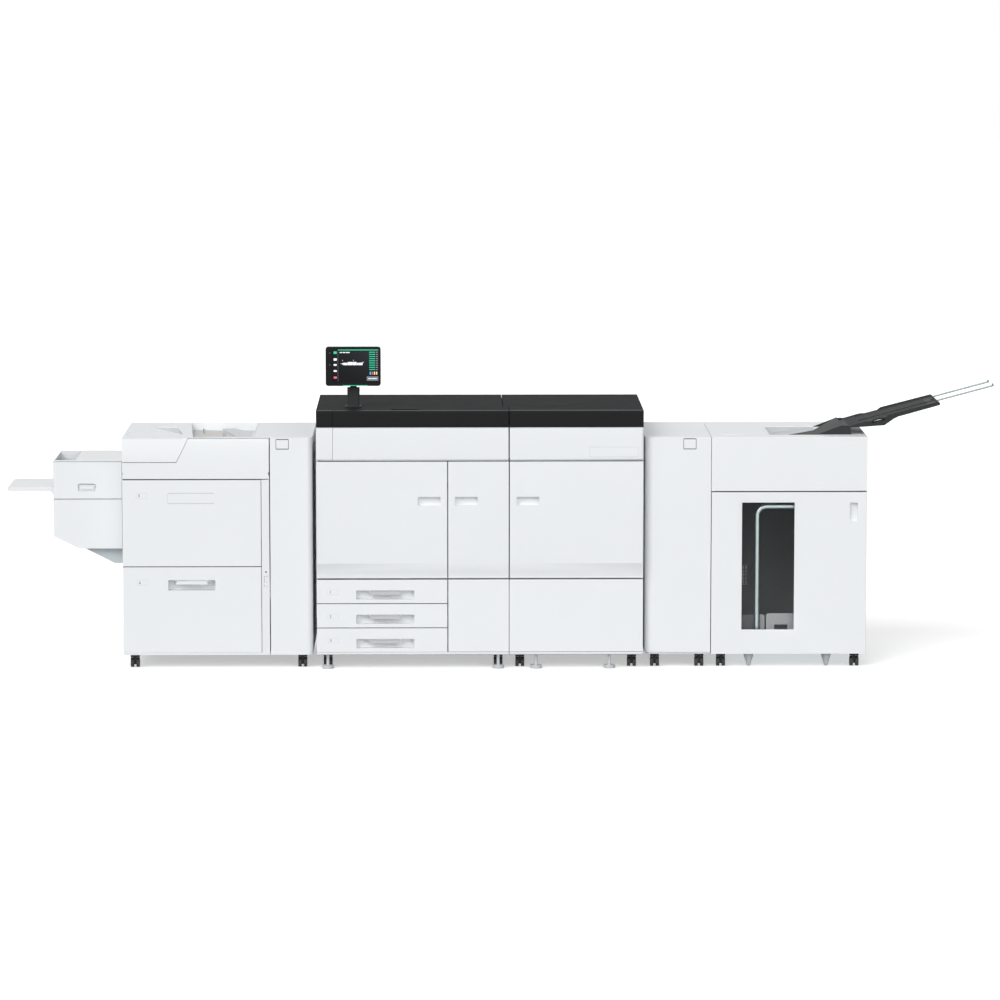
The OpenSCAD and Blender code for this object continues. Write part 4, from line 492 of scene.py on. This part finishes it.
def dress(obj, mat):
    for slot in obj.material_slots:
        slot.link = "OBJECT"
        slot.material = mat
    if not obj.material_slots:
        obj.data.materials.append(mat)


def soften(obj):
    """Rounds the hard edges of a CAD node a little, without touching its mesh."""
    weld = obj.modifiers.new("weld", "WELD")
    weld.merge_threshold = 0.00001
    flat = obj.modifiers.new("flat", "DECIMATE")
    flat.decimate_type = "DISSOLVE"
    flat.angle_limit = math.radians(0.5)
    bevel = obj.modifiers.new("edge", "BEVEL")
    bevel.width = 1.4 * MM
    bevel.segments = 2
    bevel.limit_method = "ANGLE"
    bevel.angle_limit = math.radians(38)
    bevel.harden_normals = False
    normals = obj.modifiers.new("normals", "WEIGHTED_NORMAL")
    normals.keep_sharp = False


for name, obj in nodes.items():
    dress(obj, FINISH.get(name) or MATERIALS[SLOT_OF[name]])
    soften(obj)


# Pieces made here
def mesh_piece(name, bm, mat, body):
    bmesh.ops.recalc_face_normals(bm, faces=bm.faces)
    mesh = bpy.data.meshes.new(name)
    bm.to_mesh(mesh)
    bm.free()
    mesh.materials.append(mat)
    obj = bpy.data.objects.new(name, mesh)
    bpy.context.scene.collection.objects.link(obj)
    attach(obj, body)
    return obj


def round_outline(x0, z0, x1, z1, r, steps=6):
    points = []
    for cx, cz, turn in ((x1 - r, z1 - r, 0), (x0 + r, z1 - r, 1),
                         (x0 + r, z0 + r, 2), (x1 - r, z0 + r, 3)):
        for k in range(steps + 1):
            a = math.pi / 2 * (turn + k / steps)
            points.append((cx + r * math.cos(a), cz + r * math.sin(a)))
    return points


def upright_ring(bm, outline, y):
    return [bm.verts.new((x, y, z)) for x, z in outline]


def bridge(bm, a, b):
    n = len(a)
    for i in range(n):
        bm.faces.new((a[i], a[(i + 1) % n], b[(i + 1) % n], b[i]))


def plate(name, body, mat, x, z, y, thick, r, rim=0.3 * MM):
    """A thin upright plate with round corners and an eased rim, its back at y."""
    bm = bmesh.new()
    rings = []
    for depth, inset in ((0.0, 0.0), (thick - rim, 0.0), (thick, rim)):
        outline = round_outline(x[0] + inset, z[0] + inset, x[1] - inset, z[1] - inset,
                                max(r - inset, r / 2))
        rings.append(upright_ring(bm, outline, y - depth))
    for a, b in zip(rings, rings[1:]):
        bridge(bm, a, b)
    bm.faces.new(rings[0])
    bm.faces.new(rings[-1][::-1])
    return mesh_piece(name, bm, mat, body)


def border(name, body, mat, x, z, y, thick, r, line):
    """A thin upright frame. Its line gives the width at the sides, then at top and bottom."""
    bm = bmesh.new()
    side, level = line
    outer = round_outline(x[0], z[0], x[1], z[1], r)
    inner = round_outline(x[0] + side, z[0] + level, x[1] - side, z[1] - level,
                          max(r - side, r / 2))
    loops = [upright_ring(bm, outline, y - depth)
             for outline, depth in ((outer, 0), (outer, thick), (inner, thick), (inner, 0))]
    for a, b in zip(loops, loops[1:] + loops[:1]):
        bridge(bm, a, b)
    return mesh_piece(name, bm, mat, body)


# Touch panel: screen with a generic interface, status light and marks on the bezel
panel_lo, panel_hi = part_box("touch_panel")
panel_w = panel_hi.x - panel_lo.x
panel_h = panel_hi.z - panel_lo.z
UI = {"ground": screen_ground()}
UI.update({name: glowing(f"ui_{name}", colour) for name, colour in (
    ("teal", (0.0, 0.50, 0.27)),
    ("white", (0.72, 0.76, 0.78)),
    ("pale", (0.34, 0.36, 0.38)),
    ("grey", (0.13, 0.145, 0.155)),
    ("red", (0.70, 0.10, 0.14)),
    ("cyan", (0.05, 0.42, 0.62)),
    ("magenta", (0.62, 0.06, 0.30)),
    ("yellow", (0.75, 0.62, 0.08)),
    ("beige", (0.72, 0.52, 0.42)),
)})
LAYER = 0.2 * MM
# Places on the panel are shares of its width (u) and height (v) from its lower left corner
ICON_U, ICON_R = (0.145, 0.205), 4 * MM
ICONS = (("teal", 0.82, 0.062), ("white", 0.645, 0.062), ("white", 0.515, 0.045),
         ("white", 0.36, 0.045), ("red", 0.19, 0.052))
TITLE_U, TITLE_V = ((0.257, 0.30), (0.308, 0.36), (0.368, 0.438)), (0.842, 0.866)
BARS_N, BAR_TOP_V, BAR_PITCH, BAR_H, BAR_U = 9, 0.851, 0.055, 0.020, (0.79, 0.90)
VALUE_U, VALUE_IN = (0.915, 0.945), 0.003
LEVEL_U, LEVEL_PITCH, LEVEL_W, LEVEL_V = 0.80, 0.038, 0.022, (0.29, 0.365)
BUTTON_MARK_U, BUTTON_MARK_V = ((0.775, 0.83), (0.84, 0.925)), (0.18, 0.20)
# The machine's picture: tray, feeder, engine in two blocks, decurler, stacker, exit tray
PICTURE = (
    (0.275, 0.300, 0.562, 0.572), (0.302, 0.318, 0.545, 0.585), (0.321, 0.398, 0.532, 0.592),
    (0.402, 0.492, 0.532, 0.612), (0.496, 0.562, 0.532, 0.612), (0.566, 0.598, 0.532, 0.592),
    (0.602, 0.672, 0.532, 0.592), (0.655, 0.695, 0.600, 0.610),
)
TICK_U, TICK_V, DOT = (0.30, 0.50), (0.635, 0.665), 0.012
BEZEL_MARK_U, BEZEL_MARK_V = 0.070, (0.835, 0.532)


def ui(name, colour, u0, u1, v0, v1, level=1, r=0.6 * MM):
    """A patch of the screen. A higher level lies further out."""
    x = (panel_lo.x + panel_w * u0, panel_lo.x + panel_w * u1)
    z = (panel_lo.z + panel_h * v0, panel_lo.z + panel_h * v1)
    r = min(r, (x[1] - x[0]) / 2.5, (z[1] - z[0]) / 2.5)
    y = panel_lo.y - level * LAYER
    plate(name, "touch_panel", UI[colour], x, z, y, LAYER, r, LAYER / 4)


def build_screen():
    ui("screen_ground", "ground", 0.115, 0.972, 0.10, 0.945, 0, 2 * MM)
    ui("screen_top_bar", "teal", 0.225, 0.955, 0.908, 0.928)
    ui("screen_divider", "grey", 0.222, 0.226, 0.115, 0.90)
    for k, (colour, v, tall) in enumerate(ICONS):
        ui(f"screen_icon_{k + 1}", colour, *ICON_U, v, v + tall, 1, ICON_R)
    for k, u in enumerate(TITLE_U):
        ui(f"screen_title_{k + 1}", "white", *u, *TITLE_V)
    for k in range(BARS_N):
        v = BAR_TOP_V - BAR_PITCH * k
        ui(f"screen_bar_{k + 1}", "teal", *BAR_U, v, v + BAR_H)
        ui(f"screen_value_{k + 1}", "pale", *VALUE_U, v + VALUE_IN, v + BAR_H - VALUE_IN)
    for k, colour in enumerate(("cyan", "magenta", "yellow", "beige")):
        u = LEVEL_U + LEVEL_PITCH * k
        ui(f"screen_level_{k + 1}", colour, u, u + LEVEL_W, *LEVEL_V)
    ui("screen_button", "grey", 0.746, 0.955, 0.135, 0.245, 1, 2 * MM)
    for k, u in enumerate(BUTTON_MARK_U):
        ui(f"screen_button_mark_{k + 1}", "white", *u, *BUTTON_MARK_V, 2)
    for k, unit in enumerate(PICTURE):
        ui(f"screen_picture_{k + 1}", "white", *unit, 1, 0.4 * MM)
    for k, u in enumerate(TICK_U):
        ui(f"screen_tick_{k + 1}", "pale", u, u + DOT, *TICK_V)
    for k, v in enumerate(BEZEL_MARK_V):
        ui(f"bezel_mark_{k + 1}", "pale", BEZEL_MARK_U, BEZEL_MARK_U + DOT, v, v + DOT, 0)
    ui("status_light", "teal", 0.31, 0.76, 0.004, 0.020, 0, 1.5 * MM)


build_screen()

# Bare label plates. Places across are distances from the engine's left side, and heights are
# from the floor, both in millimetres
LABEL_Z = {"column": (1139, 1192), "decurler": (1137, 1193)}
LABEL_X = {"column": (-208, -141.5), "decurler": (1888.2, 1954.5)}
LABEL_T, LABEL_FRAME_T, LABEL_R = 0.5 * MM, 0.9 * MM, 4 * MM
LABEL_LINE = (2.2 * MM, 3.6 * MM)
BADGE_X, BADGE_Z = (1402, 1656.5), (1103, 1156)
BADGE_T, BADGE_R, BADGE_LINE = 0.4 * MM, 3 * MM, (0.8 * MM, 1.6 * MM)
BADGE_PLATE_T, BADGE_PLATE_R, BADGE_PLATE_RIM = 0.3 * MM, 2.4 * MM, 0.1 * MM
# The strip that darkens the gap between the engine's two blocks, seen from behind
GAP_X, GAP_Z = (41.3 * MM, 43.4 * MM), (100 * MM, 1285 * MM)
GAP_Y, GAP_T, GAP_R = 0.400, 4 * MM, 0.4 * MM


def across(x_from_engine):
    """A place along X, in metres, from its distance to the engine's left side in millimetres."""
    return ENGINE_LEFT + x_from_engine * MM


for name in LABEL_X:
    x = tuple(across(at) for at in LABEL_X[name])
    z = tuple(at * MM for at in LABEL_Z[name])
    plate(f"{name}_label", "root", MATERIALS["white_panel"], x, z, UNIT_FRONT, LABEL_T, LABEL_R)
    border(f"{name}_label_frame", "root", MATERIALS["dark_plastic"], x, z, UNIT_FRONT,
           LABEL_FRAME_T, LABEL_R, LABEL_LINE)
badge_x = tuple(across(at) for at in BADGE_X)
badge_z = tuple(at * MM for at in BADGE_Z)
side, level = BADGE_LINE
border("badge_rim", "root", MATERIALS["grey_plastic"], badge_x, badge_z, ENGINE_FRONT,
       BADGE_T, BADGE_R, BADGE_LINE)
plate("badge_plate", "root", MATERIALS["white_panel"], (badge_x[0] + side, badge_x[1] - side),
      (badge_z[0] + level, badge_z[1] - level), ENGINE_FRONT, BADGE_PLATE_T, BADGE_PLATE_R,
      BADGE_PLATE_RIM)
plate("block_gap_shadow", "root", moulded("gap_shadow", SEAM_SHADE, gloss=0.05),
      GAP_X, GAP_Z, GAP_Y, GAP_T, GAP_R)

# Number fields of the trays and drawers
DIGIT_H, DIGIT_SCALE, DIGIT_LEFT, DIGIT_HALF_T = 14 * MM, 1.35, 13 * MM, 0.12 * MM
FIELD_HALF_W, FIELD_HALF_H, FIELD_T, FIELD_R = 28 * MM, 13 * MM, 0.2 * MM, 3 * MM
FIELD_LINE = (0.9 * MM, 0.9 * MM)
TRAY_FIELD_IN, TRAY_FIELD_DOWN, TRAY_FACE_IN = 84 * MM, 66 * MM, 18 * MM
DRAWER_FIELD_IN, DRAWER_FIELD_DOWN = 99.5 * MM, 83 * MM
DRAWERS = (("feeder_upper_drawer", "upper_drawer", "5"),
           ("feeder_lower_drawer", "lower_drawer", "6"))


def number(name, text, body, x, z, y):
    """A plain digit in a thin field."""
    curve = bpy.data.curves.new(name, "FONT")
    curve.body = text
    curve.size = DIGIT_H * DIGIT_SCALE
    curve.extrude = DIGIT_HALF_T
    curve.align_x = "CENTER"
    curve.align_y = "CENTER"
    obj = bpy.data.objects.new(name, curve)
    obj.location = (x - DIGIT_LEFT, y, z)
    obj.rotation_euler = (math.pi / 2, 0, 0)
    curve.materials.append(MATERIALS["dark_plastic"])
    bpy.context.scene.collection.objects.link(obj)
    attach(obj, body)
    border(f"{name}_field", body, MATERIALS["grey_plastic"], (x - FIELD_HALF_W, x + FIELD_HALF_W),
           (z - FIELD_HALF_H, z + FIELD_HALF_H), y, FIELD_T, FIELD_R, FIELD_LINE)


for i in (1, 2, 3):
    lo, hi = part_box(f"paper_tray_{i}")
    number(f"tray_number_{i}", str(i), f"paper_tray_{i}", lo.x + TRAY_FIELD_IN,
           hi.z - TRAY_FIELD_DOWN, ENGINE_FRONT + TRAY_FACE_IN)
for node, body, text in DRAWERS:
    lo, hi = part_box(node)
    number(f"drawer_number_{text}", text, body, lo.x + DRAWER_FIELD_IN, hi.z - DRAWER_FIELD_DOWN,
           lo.y)

# Small printed marks on the narrow strip beside the drawers: middle across, middle height,
# width, height, in millimetres
DARK_MARKS = ((-262.5, 503, 9, 7), (-270.2, 480.5, 4, 4), (-270.2, 470.6, 4, 4),
              (-270.2, 460.9, 4, 4), (-270.2, 451.1, 4, 4), (-270.2, 432.7, 4, 4))
GREY_MARKS = ((-256.4, 480, 8, 8), (-256.4, 449, 8, 3), (-256.4, 429.5, 8, 3),
              (-262.5, 424.4, 34, 1.4))
MARK_T, MARK_ROUND_SHARE = 0.2 * MM, 0.8

marks = [(mark, "dark_plastic") for mark in DARK_MARKS]
marks += [(mark, "grey_plastic") for mark in GREY_MARKS]
for k, ((x, z, w, h), kind) in enumerate(marks):
    half_w, half_h = w * MM / 2, h * MM / 2
    centre_x, centre_z = across(x), z * MM
    plate(f"strip_mark_{k + 1}", "root", MATERIALS[kind], (centre_x - half_w, centre_x + half_w),
          (centre_z - half_h, centre_z + half_h), UNIT_FRONT, MARK_T,
          min(half_w, half_h) * MARK_ROUND_SHARE, MARK_T / 4)

# Screws on the feeder's top cover: share of the radius and height in millimetres at each ring
SCREW_PROFILE = ((1, 0), (1, 0.5), (0.8, 0.9), (0.4, 0.9), (0.4, 0.3))
SCREW_R, SCREW_SIDES, SCREW_IN, SCREWS_BACK = 5 * MM, 20, 19 * MM, (151, 249)


def screw(name, body, x, y, z):
    """A low round screw head lying on a top, with a dark socket."""
    bm = bmesh.new()
    rings = []
    for share, height in SCREW_PROFILE:
        r = SCREW_R * share
        rings.append([bm.verts.new((x + r * math.cos(a), y + r * math.sin(a), z + height * MM))
                      for a in (math.tau * k / SCREW_SIDES for k in range(SCREW_SIDES))])
    for a, b in zip(rings, rings[1:]):
        bridge(bm, a, b)
    bm.faces.new(rings[0])
    bm.faces.new(rings[-1])
    mesh_piece(name, bm, MATERIALS["steel"], body)


feeder_lo, feeder_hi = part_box("feeder_top_cover")
for k, back in enumerate(SCREWS_BACK):
    screw(f"top_screw_{k + 1}", "root", feeder_lo.x + SCREW_IN, UNIT_FRONT + back * MM,
          feeder_hi.z)

# Floor, world, lights and camera
FLOOR_HALF = 60
FLOOR_SEEN, FLOOR_UNSEEN, FLOOR_GLOW = (0.90, 0.90, 0.90), (0.36, 0.365, 0.37), 0.44
SKY_LIGHT = 0.38
scene = bpy.context.scene
bm = bmesh.new()
bmesh.ops.create_grid(bm, x_segments=2, y_segments=2, size=FLOOR_HALF)
floor_mesh = bpy.data.meshes.new("floor")
bm.to_mesh(floor_mesh)
bm.free()
floor = bpy.data.objects.new("floor", floor_mesh)
scene.collection.objects.link(floor)


def seen_directly(tree):
    """1 for rays from the camera, also where clear or bright pieces pass them on."""
    path = tree.nodes.new("ShaderNodeLightPath").outputs
    mirrored = maths(tree, "MAXIMUM", path["Is Glossy Ray"], path["Is Transmission Ray"])
    return maths(tree, "MAXIMUM", path["Is Camera Ray"], mirrored)


floor_mat, floor_tree, floor_shader = new_material("floor_pale")
seen = seen_directly(floor_tree)
floor_colour = mixed(floor_tree, seen, FLOOR_UNSEEN, FLOOR_SEEN)
link(floor_tree, floor_colour, floor_shader.inputs["Base Color"])
floor_shader.inputs["Roughness"].default_value = 0.9
floor_shader.inputs["Specular IOR Level"].default_value = 0.0
floor_shader.inputs["Emission Color"].default_value = (1, 1, 1, 1)
floor_glow = maths(floor_tree, "MULTIPLY", seen, FLOOR_GLOW)
link(floor_tree, floor_glow, floor_shader.inputs["Emission Strength"])
floor_mesh.materials.append(floor_mat)

world = bpy.data.worlds.new("studio")
scene.world = world
world.use_nodes = True
world_tree = world.node_tree
sky = world_tree.nodes["Background"]
sky.inputs["Color"].default_value = (1, 1, 1, 1)
sky_strength = ramp(world_tree, seen_directly(world_tree), SKY_LIGHT, 1.0)
link(world_tree, sky_strength, sky.inputs["Strength"])


def sun(name, azimuth, elevation, strength, spread):
    """A sun lamp. Azimuth 0 is in front of the object and grows to the right, in degrees."""
    data = bpy.data.lights.new(name, "SUN")
    data.energy = strength
    data.angle = math.radians(spread)
    obj = bpy.data.objects.new(name, data)
    a, e = math.radians(azimuth), math.radians(elevation)
    towards = Vector((math.sin(a) * math.cos(e), -math.cos(a) * math.cos(e), math.sin(e)))
    obj.rotation_euler = towards.to_track_quat("Z", "Y").to_euler()
    scene.collection.objects.link(obj)


sun("key", azimuth=-35, elevation=40, strength=1.8, spread=40)
sun("front", azimuth=15, elevation=8, strength=1.42, spread=60)

# The camera stands where the photograph was taken from: level with x = 656.5 mm from the
# engine's left side, 22.7 m in front of the units and 3.73 m above the floor
CAMERA_X, CAMERA_BACK, CAMERA_Z = 0.6565, 22.7, 3.73
SENSOR_W, LENS, CLIP_END = 36, 160, 200
camera_data = bpy.data.cameras.new("camera")
camera = bpy.data.objects.new("camera", camera_data)
scene.collection.objects.link(camera)
camera.location = (ENGINE_LEFT + CAMERA_X, UNIT_FRONT - CAMERA_BACK, CAMERA_Z)
target = Vector((0, 0, cad_box[1][2] / 2))
camera.rotation_euler = (target - camera.location).to_track_quat("-Z", "Y").to_euler()
camera_data.sensor_width = SENSOR_W
camera_data.lens = LENS
camera_data.clip_end = CLIP_END
scene.camera = camera
scene.view_settings.view_transform = "Standard"
